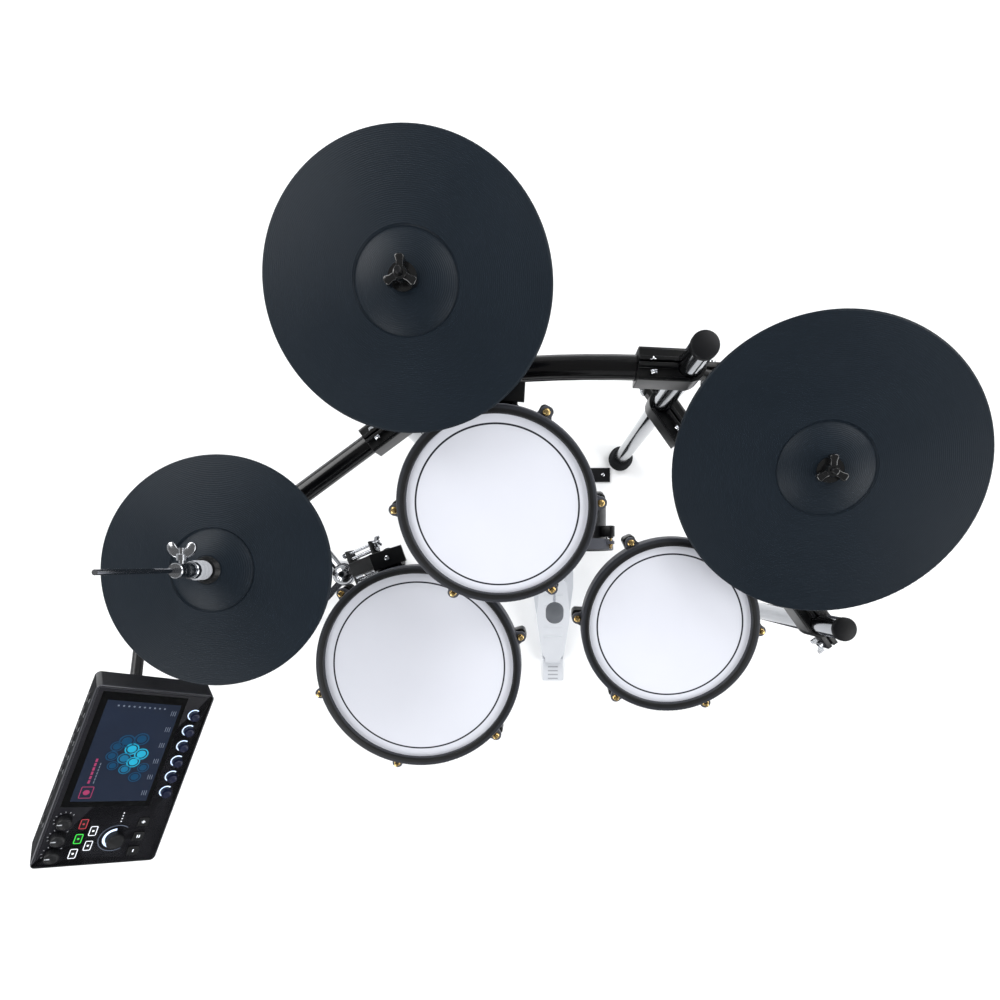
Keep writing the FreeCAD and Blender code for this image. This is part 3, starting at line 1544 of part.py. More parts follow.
def module_knobs():
    """Name, panel position, radius and height of every turning control."""
    knobs = [("main_dial", on_panel(d.dial_left, d.dial_top), d.dial_radius, d.dial_height)]
    for index in range(6):
        spot = on_panel(d.encoder_left + d.encoder_pitch * index, d.encoder_top)
        knobs.append((f"encoder_{index + 1}", spot, d.encoder_radius, d.encoder_height))
    for index in range(3):
        spot = on_panel(d.level_left + d.level_pitch * index, d.level_top)
        knobs.append((f"level_knob_{index + 1}", spot, d.level_radius, d.level_height))
    return knobs


def module_buttons():
    """Name, panel position, length and width of every push button."""
    buttons = []
    for index in range(3):
        spot = on_panel(d.key_left + d.key_pitch * index, d.key_top)
        buttons.append((f"menu_key_{index + 1}", spot, d.key_size, d.key_size))
    for index in range(3):
        spot = on_panel(d.pad_key_left + d.pad_key_pitch * index, d.pad_key_top)
        buttons.append((f"transport_key_{index + 1}", spot, d.pad_key_length, d.pad_key_width))
    for index in range(2):
        left = d.pad_key_left + d.pad_key_pitch / 2 + d.pad_key_pitch * index
        spot = on_panel(left, d.pad_key_top + d.pad_key_row)
        buttons.append((f"transport_key_{index + 4}", spot, d.pad_key_length, d.pad_key_width))
    return buttons


def box_round(spot, length, width, grow=0):
    """Rectangle about a panel position."""
    half_x = length / 2 + grow
    half_y = width / 2 + grow
    return rectangle(spot[0] - half_x, spot[1] - half_y, spot[0] + half_x, spot[1] + half_y)


def glass_box(grow=0):
    """Outline of the screen glass on the panel."""
    left, top = on_panel(d.glass_left, d.glass_top)
    return rectangle(left - grow, top - d.glass_width - grow, left + d.glass_length + grow, top + grow)


def soften(body, feature, radius, chosen):
    """Round the chosen edges of a body's last feature."""
    doc.recompute()
    names = [f"Edge{i}" for i, edge in enumerate(feature.Shape.Edges, start=1) if chosen(edge)]
    fillet = body.newObject("PartDesign::Fillet", f"{body.Name}_fillet")
    fillet.Base = (feature, names)
    fillet.setExpression("Radius", as_size(radius).formula)
    return fillet


def upright_edge(edge):
    """True for an edge along Z."""
    return abs(edge.BoundBox.ZLength - edge.Length) < TINY


def make_module_case():
    """Moulded rear case with rounded corners, a seat for the panel and a tilt tab."""
    half_x = d.module_length / 2
    half_y = d.module_width / 2
    depth = d.module_depth
    body = new_body("module_shell", module_place())
    tray = add_pad(body, depth, lift=-depth, loops=[rectangle(-half_x, -half_y, half_x, half_y)])
    rounded = soften(body, tray, d.module_corner, upright_edge)
    soften(body, rounded, d.module_edge, lambda edge: edge.BoundBox.ZMax < TINY - depth.number)
    margin = d.panel_margin - d.panel_fit
    add_pocket(body, d.panel_thickness + d.panel_fit, 0, loops=[
        rectangle(margin - half_x, margin - half_y, half_x - margin, half_y - margin),
    ])
    tab = make_tab("module_tab", module_knuckle_place(), d.module_edge)
    keep("module_case", fused("module_case_with_tab", [body, tab]))


def module_knuckle_place():
    """Frame of the module's tilt knuckle, out of the back of the case with its pin along the panel."""
    spot = at(d.module_tab_along, d.module_tab_up, -d.module_depth)
    facing = Rotation(Vector(0, 0, -1), Vector(1, 0, 0), Vector(0, -1, 0), "ZXY")
    return module_place().multiply(spot).multiply(Placement(Vector(), facing))


def make_module_panel():
    """Face plate cut for the glass, the knob shafts and the buttons, with the glass set into it."""
    half_x = d.module_length / 2 - d.panel_margin
    half_y = d.module_width / 2 - d.panel_margin
    panel = new_body("module_face", module_place())
    holes = [(spot[0], spot[1], d.shaft_radius + d.shaft_clearance) for _, spot, _, _ in module_knobs()]
    windows = [
        box_round(spot, length, width, d.button_clearance)
        for _, spot, length, width in module_buttons()
    ]
    outline = rectangle(-half_x, -half_y, half_x, half_y)
    add_pad(
        panel, d.panel_thickness, lift=-d.panel_thickness,
        loops=[outline, glass_box(d.panel_fit)] + windows, circles=holes,
    )
    keep("module_panel", panel)
    glass = new_body("module_glass", module_place())
    add_pad(glass, d.panel_thickness + d.glass_proud, lift=-d.panel_thickness, loops=[glass_box()])
    keep("module_screen", glass)


def make_module_controls():
    """Knobs on their shafts and buttons in their windows."""
    for name, spot, radius, height in module_knobs():
        place = module_place().multiply(at(spot[0], spot[1], 0))
        top = height + d.knob_lift
        knob = revolve(f"{name}_knob", [
            (d.shaft_radius, -d.panel_thickness), (d.shaft_radius, d.knob_lift), (radius, d.knob_lift),
            (radius * d.knob_shoulder, top - d.pointer_depth), (radius * d.knob_top, top), (0, top),
            (0, -d.panel_thickness),
        ], place)
        half = d.pointer_width / 2
        add_pocket(knob, d.pointer_depth, top, loops=[
            rectangle(-half, radius * d.pointer_start, half, radius),
        ])
        keep(name, knob)
    for name, spot, length, width in module_buttons():
        place = module_place().multiply(at(spot[0], spot[1], 0))
        floor = d.panel_thickness - d.button_travel - d.panel_fit
        button = new_body(f"{name}_cap", place)
        cap = add_pad(button, floor + d.button_proud, lift=-floor, loops=[box_round((0, 0), length, width)])
        soften(button, cap, d.button_travel, upright_edge)
        keep(name, button)


def make_module_arm():
    """Arm from a clamp on the left post to the fork behind the module."""
    hub = fork_hub(module_knuckle_place())
    grip = arm_clamp("module_arm", post_point("left", module_arm_height()), Z_AXIS, hub)
    fork = make_fork("module_fork", module_knuckle_place(), hub - grip)
    return fused("module_arm", fork + [rod("module_arm_rod", d.arm_radius, grip, hub)])


# Assembly
make_posts()
bars = [
    make_rear_bar(),
    make_side_bar("left_bar", "rear_left", "left"),
    make_side_bar("right_bar", "rear_right", "right"),
]
keep("rack_bars", group("bars", bars))
for pad_name in PADS + ("kick",):
    make_pad(pad_name)
for cymbal_name in ("crash", "ride", "hihat"):
    make_cymbal_pad(cymbal_name)
make_cymbal_stands()
make_hihat_stand()
make_hihat_base()
make_hihat_moving()
make_kick_tower()
make_pedal_frame()
make_pedal_moving()
make_module_case()
make_module_panel()
make_module_controls()
keep("support_arms", group("support_arm_set", make_pad_arms() + [make_module_arm()]))
wing_bolt = make_wing_bolt()
keep("rack_clamps", group("clamp_set", clamp_halves))
keep("clamp_bolts", group("bolt_set", [
    copy_at(f"wing_bolt_{index}", wing_bolt, place) for index, place in enumerate(bolt_places)
]))

doc.recompute()
faults = [item.Name for item in doc.Objects if {"Invalid", "Error"} & set(item.State)]
for node_name, piece in nodes:
    if piece.Shape.isNull() or not piece.Shape.isValid():
        faults.append(node_name)
if faults:
    raise RuntimeError("failed pieces: " + ", ".join(faults))
for node_name, piece in nodes:
    piece.Shape.exportStep(f"parts/{node_name}.step")
print(len(nodes), "sub-parts written")
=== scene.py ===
import json
import logging
import math
from dataclasses import dataclass
from enum import Enum
from typing import Callable, Iterable, Sequence

import bmesh
import bpy
from mathutils import Matrix, Vector

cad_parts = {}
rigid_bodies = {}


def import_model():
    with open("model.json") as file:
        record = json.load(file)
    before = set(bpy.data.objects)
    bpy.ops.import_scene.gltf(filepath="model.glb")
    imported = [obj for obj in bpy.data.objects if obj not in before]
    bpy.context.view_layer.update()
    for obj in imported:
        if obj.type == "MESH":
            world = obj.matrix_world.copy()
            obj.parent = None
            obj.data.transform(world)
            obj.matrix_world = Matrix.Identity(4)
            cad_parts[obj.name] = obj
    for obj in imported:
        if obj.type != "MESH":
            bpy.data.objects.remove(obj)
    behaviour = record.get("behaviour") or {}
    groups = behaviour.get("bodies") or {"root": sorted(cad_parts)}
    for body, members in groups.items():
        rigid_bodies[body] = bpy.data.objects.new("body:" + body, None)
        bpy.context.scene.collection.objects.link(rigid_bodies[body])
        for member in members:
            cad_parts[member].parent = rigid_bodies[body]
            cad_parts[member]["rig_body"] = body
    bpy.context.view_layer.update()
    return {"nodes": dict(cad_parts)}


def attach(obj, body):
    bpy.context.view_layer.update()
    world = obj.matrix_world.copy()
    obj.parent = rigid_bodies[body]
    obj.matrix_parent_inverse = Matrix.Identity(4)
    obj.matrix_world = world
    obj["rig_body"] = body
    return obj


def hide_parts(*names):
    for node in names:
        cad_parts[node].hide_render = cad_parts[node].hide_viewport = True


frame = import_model()

MM = 0.001
TAU = 2 * math.pi
UP = Vector((0, 0, 1))
# Distance in metres at which a wave texture of scale 1 repeats.
WAVE_UNIT = TAU / 20
# Points of a turned line this close, in its own units, become one.
SEAM = 1e-4
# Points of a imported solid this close, in metres, become one.
NODE_SEAM = 2e-6
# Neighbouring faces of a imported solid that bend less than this, in degrees, become one.
FLAT_ANGLE = 0.6
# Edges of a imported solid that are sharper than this, in degrees, are rounded.
ROUND_ANGLE = 35.0
# Edges sharper than these, in degrees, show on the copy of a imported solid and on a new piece.
NODE_EDGE_ANGLE = 30.0
EDGE_ANGLE = 34.0
log = logging.getLogger("drum_kit")

Pair = tuple[float, float]
Triple = tuple[float, float, float]
FaceTest = Callable[[Vector], bool]
KnobSize = tuple[float, float, int]
Socket = bpy.types.NodeSocket


class Body(str, Enum):
    RACK = "rack"
    SNARE = "snare"
    RACK_TOM = "rack_tom"
    FLOOR_TOM = "floor_tom"
    HIHAT = "hihat"
    MODULE = "module"


def linear(colour: str) -> tuple[float, float, float, float]:
    """Turn an sRGB hex colour into linear light.

    Args:
        colour: Six hex digits with a leading hash.

    Returns:
        Red, green, blue and full alpha.
    """
    parts = [int(colour[i:i + 2], 16) / 255 for i in (1, 3, 5)]
    light = [c / 12.92 if c <= 0.04045 else ((c + 0.055) / 1.055) ** 2.4 for c in parts]
    return light[0], light[1], light[2], 1.0


class Canvas:
    """Shader nodes of one material."""

    def __init__(self, tree: bpy.types.NodeTree) -> None:
        """Start from the object's own coordinates, in metres."""
        self.tree = tree
        self.place = self.add("ShaderNodeTexCoord").outputs["Object"]

    def feed(self, node: bpy.types.Node, values: dict, links: dict) -> None:
        """Set a node's inputs.

        Args:
            node: The node.
            values: Constant inputs by socket name or number.
            links: Source sockets by input name or number.
        """
        for name, value in values.items():
            node.inputs[name].default_value = value
        for name, source in links.items():
            self.tree.links.new(source, node.inputs[name])

    def add(
        self, kind: str, settings: dict | None = None, values: dict | None = None, links: dict | None = None,
    ) -> bpy.types.Node:
        """Add a node with its settings and inputs.

        Args:
            kind: Node type name.
            settings: Node properties by name.
            values: Constant inputs by socket name or number.
            links: Source sockets by input name or number.

        Returns:
            The new node.
        """
        node = self.tree.nodes.new(kind)
        for name, value in (settings or {}).items():
            setattr(node, name, value)
        self.feed(node, values or {}, links or {})
        return node


@dataclass(frozen=True)
class Finish:
    """A surface: colour, gloss, a slow change of tone, and a grain by its size and depth in millimetres."""

    name: str
    colour: str
    shade: str
    roughness: float = 0.5
    metallic: float = 0.0
    coat: float = 0.0
    coat_roughness: float = 0.08
    specular: float = 0.5
    grain: Pair = (0.6, 0.02)
    mottle_mm: float = 40.0
    glow: float = 0.0

    def paint(self) -> bpy.types.Material:
        """Build the material once and give it back on later calls.

        Returns:
            The finished material.
        """
        known = bpy.data.materials.get(self.name)
        if known is not None:
            return known
        material = bpy.data.materials.new(self.name)
        material.use_nodes = True
        canvas = Canvas(material.node_tree)
        tone = self.tone(canvas)
        height, depth_mm = self.relief(canvas)
        bump = canvas.add(
            "ShaderNodeBump", values={"Strength": 1.0, "Distance": depth_mm * MM}, links={"Height": height},
        )
        levels = {
            "Metallic": self.metallic, "Coat Weight": self.coat, "Coat Roughness": self.coat_roughness,
            "Specular IOR Level": self.specular,
        }
        sources = {"Base Color": tone, "Roughness": self.gloss(canvas), "Normal": bump.outputs["Normal"]}
        if self.glow > 0:
            levels["Emission Strength"] = self.glow
            sources["Emission Color"] = tone
        canvas.feed(canvas.tree.nodes["Principled BSDF"], levels, sources)
        return material

    def tone(self, canvas: Canvas) -> Socket:
        """Wander slowly between the colour and its shade.

        Args:
            canvas: The material's nodes.

        Returns:
            The colour.
        """
        cloud = {"Scale": 1 / (self.mottle_mm * MM), "Detail": 3.0}
        mottle = canvas.add("ShaderNodeTexNoise", None, cloud, {"Vector": canvas.place})
        ends = {6: linear(self.colour), 7: linear(self.shade)}
        blend = canvas.add("ShaderNodeMix", {"data_type": "RGBA"}, ends, {0: mottle.outputs["Fac"]})
        return blend.outputs[2]

    def gloss(self, canvas: Canvas) -> Socket:
        """Vary the roughness a little, as handling does.

        Args:
            canvas: The material's nodes.

        Returns:
            The roughness.
        """
        cloud = {"Scale": 1 / (self.mottle_mm * 0.5 * MM), "Detail": 4.0}
        wear = canvas.add("ShaderNodeTexNoise", None, cloud, {"Vector": canvas.place})
        limits = {"To Min": self.roughness * 0.85, "To Max": self.roughness * 1.15}
        spread = canvas.add("ShaderNodeMapRange", None, limits, {"Value": wear.outputs["Fac"]})
        return spread.outputs["Result"]

    def relief(self, canvas: Canvas) -> tuple[Socket, float]:
        """Raise the grain.

        Args:
            canvas: The material's nodes.

        Returns:
            The height of the grain from 0 to 1, and its depth in millimetres.
        """
        size_mm, depth_mm = self.grain
        cloud = {"Scale": 1 / (size_mm * MM), "Detail": 2.0}
        grain = canvas.add("ShaderNodeTexNoise", None, cloud, {"Vector": canvas.place})
        return grain.outputs["Fac"], depth_mm


@dataclass(frozen=True)
class FramedFinish(Finish):
    """A finish that follows the frame of the pad or rod that it lies on."""

    centre: Triple = (0.0, 0.0, 0.0)
    turn: Triple = (0.0, 0.0, 0.0)

    def local(self, canvas: Canvas) -> Socket:
        """Give coordinates in that frame, in metres.

        Args:
            canvas: The material's nodes.

        Returns:
            The coordinates.
        """
        values = {"Location": self.centre, "Rotation": self.turn}
        links = {"Vector": canvas.place}
        return canvas.add("ShaderNodeMapping", {"vector_type": "TEXTURE"}, values, links).outputs["Vector"]

    def radius(self, canvas: Canvas) -> Socket:
        """Give the distance from the frame's Z axis in millimetres.

        Args:
            canvas: The material's nodes.

        Returns:
            The distance.
        """
        flatten = {1: (1 / MM, 1 / MM, 0.0)}
        flat = canvas.add("ShaderNodeVectorMath", {"operation": "MULTIPLY"}, flatten, {0: self.local(canvas)})
        reach = canvas.add("ShaderNodeVectorMath", {"operation": "LENGTH"}, None, {0: flat.outputs["Vector"]})
        return reach.outputs["Value"]


@dataclass(frozen=True)
class CymbalRubber(FramedFinish):
    """Moulded rubber with turned grooves: fine circles that catch the light as the pad turns."""

    groove_mm: float = 2.4
    groove_depth_mm: float = 0.1

    def relief(self, canvas: Canvas) -> tuple[Socket, float]:
        """Cut the circles, drawn a little wider than the real 1.5 mm so that they show.

        Args:
            canvas: The material's nodes.

        Returns:
            The height of the rubber from 0 to 1, and the depth of the circles in millimetres.
        """
        rate = {1: TAU / self.groove_mm}
        phase = canvas.add("ShaderNodeMath", {"operation": "MULTIPLY"}, rate, {0: self.radius(canvas)})
        wave = canvas.add("ShaderNodeMath", {"operation": "SINE"}, None, {0: phase.outputs[0]})
        height = canvas.add("ShaderNodeMapRange", None, {"From Min": -1.0}, {"Value": wave.outputs[0]})
        return height.outputs["Result"], self.groove_depth_mm


@dataclass(frozen=True)
class MeshHead(FramedFinish):
    """Two-ply woven polyester: a soft white weave with one thin printed ring near the edge."""

    ring_mm: float = 114.0
    ring_width_mm: float = 2.6
    ring_colour: str = "#23242b"
    thread_mm: float = 1.4
    weave_depth_mm: float = 0.07

    def tone(self, canvas: Canvas) -> Socket:
        """Print the ring, with slightly soft edges, over the white of the weave.

        Args:
            canvas: The material's nodes.

        Returns:
            The colour.
        """
        ring = {1: self.ring_mm}
        offset = canvas.add("ShaderNodeMath", {"operation": "SUBTRACT"}, ring, {0: self.radius(canvas)})
        away = canvas.add("ShaderNodeMath", {"operation": "ABSOLUTE"}, None, {0: offset.outputs[0]})
        edge = {
            "From Min": self.ring_width_mm * 0.4, "From Max": self.ring_width_mm * 0.6,
            "To Min": 1.0, "To Max": 0.0,
        }
        share = canvas.add("ShaderNodeMapRange", None, edge, {"Value": away.outputs[0]})
        layers = {0: share.outputs["Result"], 6: super().tone(canvas)}
        ink = canvas.add("ShaderNodeMix", {"data_type": "RGBA"}, {7: linear(self.ring_colour)}, layers)
        return ink.outputs[2]

    def relief(self, canvas: Canvas) -> tuple[Socket, float]:
        """Weave the threads, drawn twice as wide as the real 0.7 mm so that they show.

        Args:
            canvas: The material's nodes.

        Returns:
            The height of the weave, and its depth in millimetres.
        """
        scale = {"Scale": WAVE_UNIT / (self.thread_mm * MM)}
        threads = {}
        for number, way in enumerate("XY"):
            links = {"Vector": self.local(canvas)}
            thread = canvas.add("ShaderNodeTexWave", {"bands_direction": way}, scale, links)
            threads[number] = thread.outputs["Fac"]
        weave = canvas.add("ShaderNodeMath", {"operation": "MAXIMUM"}, None, threads)
        return weave.outputs[0], self.weave_depth_mm


@dataclass(frozen=True)
class HoopRubber(FramedFinish):
    """Black rubber over a steel hoop, with painted highlights: the dark grey bands outside and the paler
    lines at both rims stand for light on its rounded lip.
    """

    inner_mm: float = 127.0
    outer_mm: float = 140.0
    # Colours of the painted highlights on the rims and the outer side of the hoop.
    inner_rim_highlight: str = "#33353b"
    outer_sheen: str = "#212328"
    outer_edge_sheen: str = "#282a30"
    outer_rim_highlight: str = "#4a4c54"

    def tone(self, canvas: Canvas) -> Socket:
        """Lay the bands of black and painted highlight across the width of the hoop.

        Args:
            canvas: The material's nodes.

        Returns:
            The colour.
        """
        limits = {"From Min": self.inner_mm, "From Max": self.outer_mm}
        across = canvas.add("ShaderNodeMapRange", None, limits, {"Value": self.radius(canvas)})
        ramp = canvas.add("ShaderNodeValToRGB", links={"Fac": across.outputs["Result"]})
        bands = (
            (0.0, self.inner_rim_highlight), (0.1, self.colour), (0.5, self.shade),
            (0.62, self.outer_sheen), (0.88, self.outer_edge_sheen), (1.0, self.outer_rim_highlight),
        )
        stops = ramp.color_ramp.elements
        while len(stops) < len(bands):
            stops.new(0.5)
        for stop, (share, colour) in zip(stops, bands):
            stop.position = share
            stop.color = linear(colour)
        return ramp.outputs["Color"]


@dataclass(frozen=True)
class ThreadedSteel(FramedFinish):
    """Plated rod with a rolled thread: bright rings square to its axis."""

    pitch_mm: float = 2.5
    thread_depth_mm: float = 0.35

    def relief(self, canvas: Canvas) -> tuple[Socket, float]:
        """Roll the thread, drawn wider than the real 1.25 mm so that it shows.

        Args:
            canvas: The material's nodes.

        Returns:
            The height of the thread from 0 to 1, and its depth in millimetres.
        """
        scale = {"Scale": WAVE_UNIT / (self.pitch_mm * MM)}
        links = {"Vector": self.local(canvas)}
        thread = canvas.add("ShaderNodeTexWave", {"bands_direction": "Z"}, scale, links)
        return thread.outputs["Fac"], self.thread_depth_mm


def lit(name: str, colour: str, shade: str, mottle_mm: float, glow: float) -> Finish:
    """Give a light guide or lit mark that glows in its own colour."""
    return Finish(name, colour, shade, 0.3, specular=0.1, grain=(0.6, 0.0), mottle_mm=mottle_mm, glow=glow)


def board(name: str, colour: str, shade: str, roughness: float) -> Finish:
    """Give a painted board of the studio, without gloss or grain."""
    return Finish(name, colour, shade, roughness, specular=0.0, grain=(3.0, 0.0), mottle_mm=900)


# Chrome plate on steel tube: a mirror that takes its tone from the room.
CHROME = Finish("chrome_plated_steel", "#aeb0b4", "#a0a2a6", 0.13, 1.0, grain=(6.0, 0.004))
# Zinc on cast steel: bright but softer than chrome.
ZINC = Finish("zinc_plated_steel", "#d3d5d9", "#b4b7bc", 0.24, 1.0, grain=(0.8, 0.01))
# Yellow brass, turned: warm glints on small heads.
BRASS = Finish("turned_brass", "#d6bd85", "#b2935a", 0.26, 1.0, grain=(0.5, 0.01))
# Black lacquer on steel tube: deep black with thin long highlights.
LACQUER = Finish(
    "black_lacquered_steel", "#040405", "#08080a", 0.2, coat=0.25, specular=0.25, grain=(1.6, 0.006),
)
# Glass-filled nylon, moulded: black with a satin sheen over a fine spark texture.
NYLON = Finish("moulded_black_nylon", "#060708", "#0c0d0f", 0.3, specular=0.3, grain=(0.7, 0.03))
# The same nylon polished in the mould: sharp glints on the cymbal nuts.
GLOSSY_NYLON = Finish("polished_black_nylon", "#060708", "#0b0c0e", 0.16, coat=0.4, grain=(1.2, 0.005))
# Black paint on cast metal: satin, slightly uneven.
PAINT = Finish("black_painted_steel", "#08090b", "#0e0f12", 0.34, coat=0.12, specular=0.3, grain=(1.2, 0.012))
# Moulded rubber of the feet: matt and near black.
RUBBER = Finish("moulded_foot_rubber", "#101113", "#1a1b1e", 0.75, specular=0.2, grain=(1.0, 0.05))
# Polypropylene plug, moulded: near black and satin.
PLUG = Finish("moulded_polypropylene_plug", "#090a0c", "#0f1013", 0.42, specular=0.16, grain=(0.8, 0.02))
# ABS shell of a pad: black with a soft sheen.
SHELL = Finish("moulded_black_abs", "#08090b", "#101114", 0.38, specular=0.3, grain=(0.8, 0.015))
# Open-cell foam of the sensor cone: grey and porous.
FOAM = Finish("cut_polyurethane_foam", "#55585e", "#3d4046", 0.95, grain=(1.6, 0.35))
# Pressed wool felt: pale grey with short fibres.
FELT = Finish("pressed_wool_felt", "#b4b6bb", "#a2a4aa", 0.95, grain=(0.9, 0.25))
# Pale powder coat on the kick pedal, nearly white against the floor.
PALE_COAT = Finish("pale_powder_coat", "#cdd0d5", "#c5c8ce", 0.4, specular=0.3, grain=(0.9, 0.02))
# Grey strips on the heel plate: painted shade that stands for its slots.
HEEL_SLOT_SHADE = Finish("painted_heel_slot_shade", "#a3a6ab", "#94979c", 0.7, specular=0.2, grain=(0.8, 0.03))
# Grey felt of the beater, softer and darker than the pedal.
BEATER_FELT = Finish("grey_wool_felt", "#6d7075", "#585b60", 0.9, specular=0.2, grain=(0.9, 0.2))
# Module case: charcoal ABS with a fine spark-eroded texture.
CASE = Finish("charcoal_abs_case", "#0f1014", "#15161a", 0.36, specular=0.25, grain=(0.5, 0.02))
# Matt side wall of the case that carries the sockets: darker, with a coarser texture.
CASE_SIDE = Finish("matt_abs_side_wall", "#0c0d10", "#121316", 0.75, specular=0.04, grain=(0.7, 0.03))
# Painted highlight on the rounded edges of the case: thin grey lines where two walls meet.
CASE_EDGE_HIGHLIGHT = Finish("painted_highlight_abs_edge", "#3a3b41", "#44454b", 0.25, specular=0.4, grain=(0.8, 0.004))
# Module face: charcoal sheet, a touch lighter and smoother than the case.
FACE = Finish("charcoal_anodised_face", "#111117", "#17171d", 0.36, specular=0.25, grain=(0.35, 0.006))
# Cover glass over the display: black and mirror smooth.
GLASS = Finish("black_cover_glass", "#020203", "#030405", 0.05, specular=0.15, grain=(8.0, 0.001))
# Soft-touch knob: black and even.
KNOB = Finish("soft_touch_black_plastic", "#08090b", "#101114", 0.5, specular=0.3, grain=(0.4, 0.012))
# Dark translucent knob with blue light behind it.
LIT_KNOB = Finish(
    "dark_blue_lit_plastic", "#060b1f", "#0b1433", 0.35, specular=0.3, grain=(0.4, 0.01), glow=0.25,
)
# Silicone key: black and dull.
KEY = Finish("black_silicone_key", "#07080a", "#0d0e10", 0.6, specular=0.25, grain=(0.5, 0.02))
# White ink on the panel.
INK = Finish("white_panel_ink", "#c9ccd2", "#b4b7be", 0.6, grain=(0.4, 0.004))
# Display area under the glass, lit a deep navy.
NAVY = Finish(
    "lit_navy_display", "#141a26", "#182030", 0.1, specular=0.2, grain=(0.6, 0.0), mottle_mm=60, glow=0.55,
)
# Light guides and lit marks.
TEAL_DEEP = lit("deep_teal_light", "#0b2c44", "#0f3a58", 9, 0.6)
TEAL_MID = lit("mid_teal_light", "#114b68", "#155c7c", 8, 0.6)
TEAL = lit("teal_light", "#187896", "#2193ad", 7, 0.6)
ICE = lit("blue_white_light", "#e4f0ff", "#b9d6ff", 6, 0.9)
ROSE = lit("rose_light", "#8e3455", "#7c2c4e", 9, 0.6)
RED = lit("red_light", "#a83c44", "#8f2f37", 6, 0.6)
GREEN = lit("green_light", "#3fd24a", "#2fb53a", 6, 0.8)
WHITE = lit("white_light", "#e6e9ef", "#d6dae2", 6, 0.6)
GREY = lit("grey_light", "#6b7484", "#5c6472", 6, 0.4)
# Painted board of the studio floor and walls, and the dark ring that shapes the reflections.
FLOOR = board("white_studio_board", "#f6f7f8", "#f4f5f6", 0.8)
FLAG = board("dark_studio_flag", "#3a3b3f", "#404146", 0.9)


def spin_line(bm: bmesh.types.BMesh, outline: Sequence[Pair], steps: int, closed: bool) -> None:
    """Turn a line of radius and height about Z.

    Args:
        bm: Mesh that takes the faces.
        outline: Points of the line.
        steps: Facets round the axis.
        closed: Whether the last point joins the first.
    """
    verts = [bm.verts.new((r, 0, z)) for r, z in outline]
    edges = [bm.edges.new(pair) for pair in zip(verts, verts[1:])]
    if closed:
        edges.append(bm.edges.new((verts[-1], verts[0])))
    bmesh.ops.spin(
        bm, geom=verts + edges, cent=(0, 0, 0), axis=UP, dvec=(0, 0, 0), angle=TAU, steps=steps,
        use_merge=True, use_duplicate=False,
    )
    bmesh.ops.remove_doubles(bm, verts=bm.verts, dist=SEAM)


def rounded(length: float, width: float, corner: float, steps: int = 16) -> list[Pair]:
    """Give the outline of a rectangle with rounded corners, about the origin.

    Args:
        length: Size along X.
        width: Size along Y.
        corner: Radius of the corners.
        steps: Points in all.

    Returns:
        The outline.
    """
    points = []
    for step in range(steps):
        angle = TAU * (step + 0.5) / steps
        x = math.copysign(length / 2 - corner, math.cos(angle)) + corner * math.cos(angle)
        y = math.copysign(width / 2 - corner, math.sin(angle)) + corner * math.sin(angle)
        points.append((x, y))
    return points


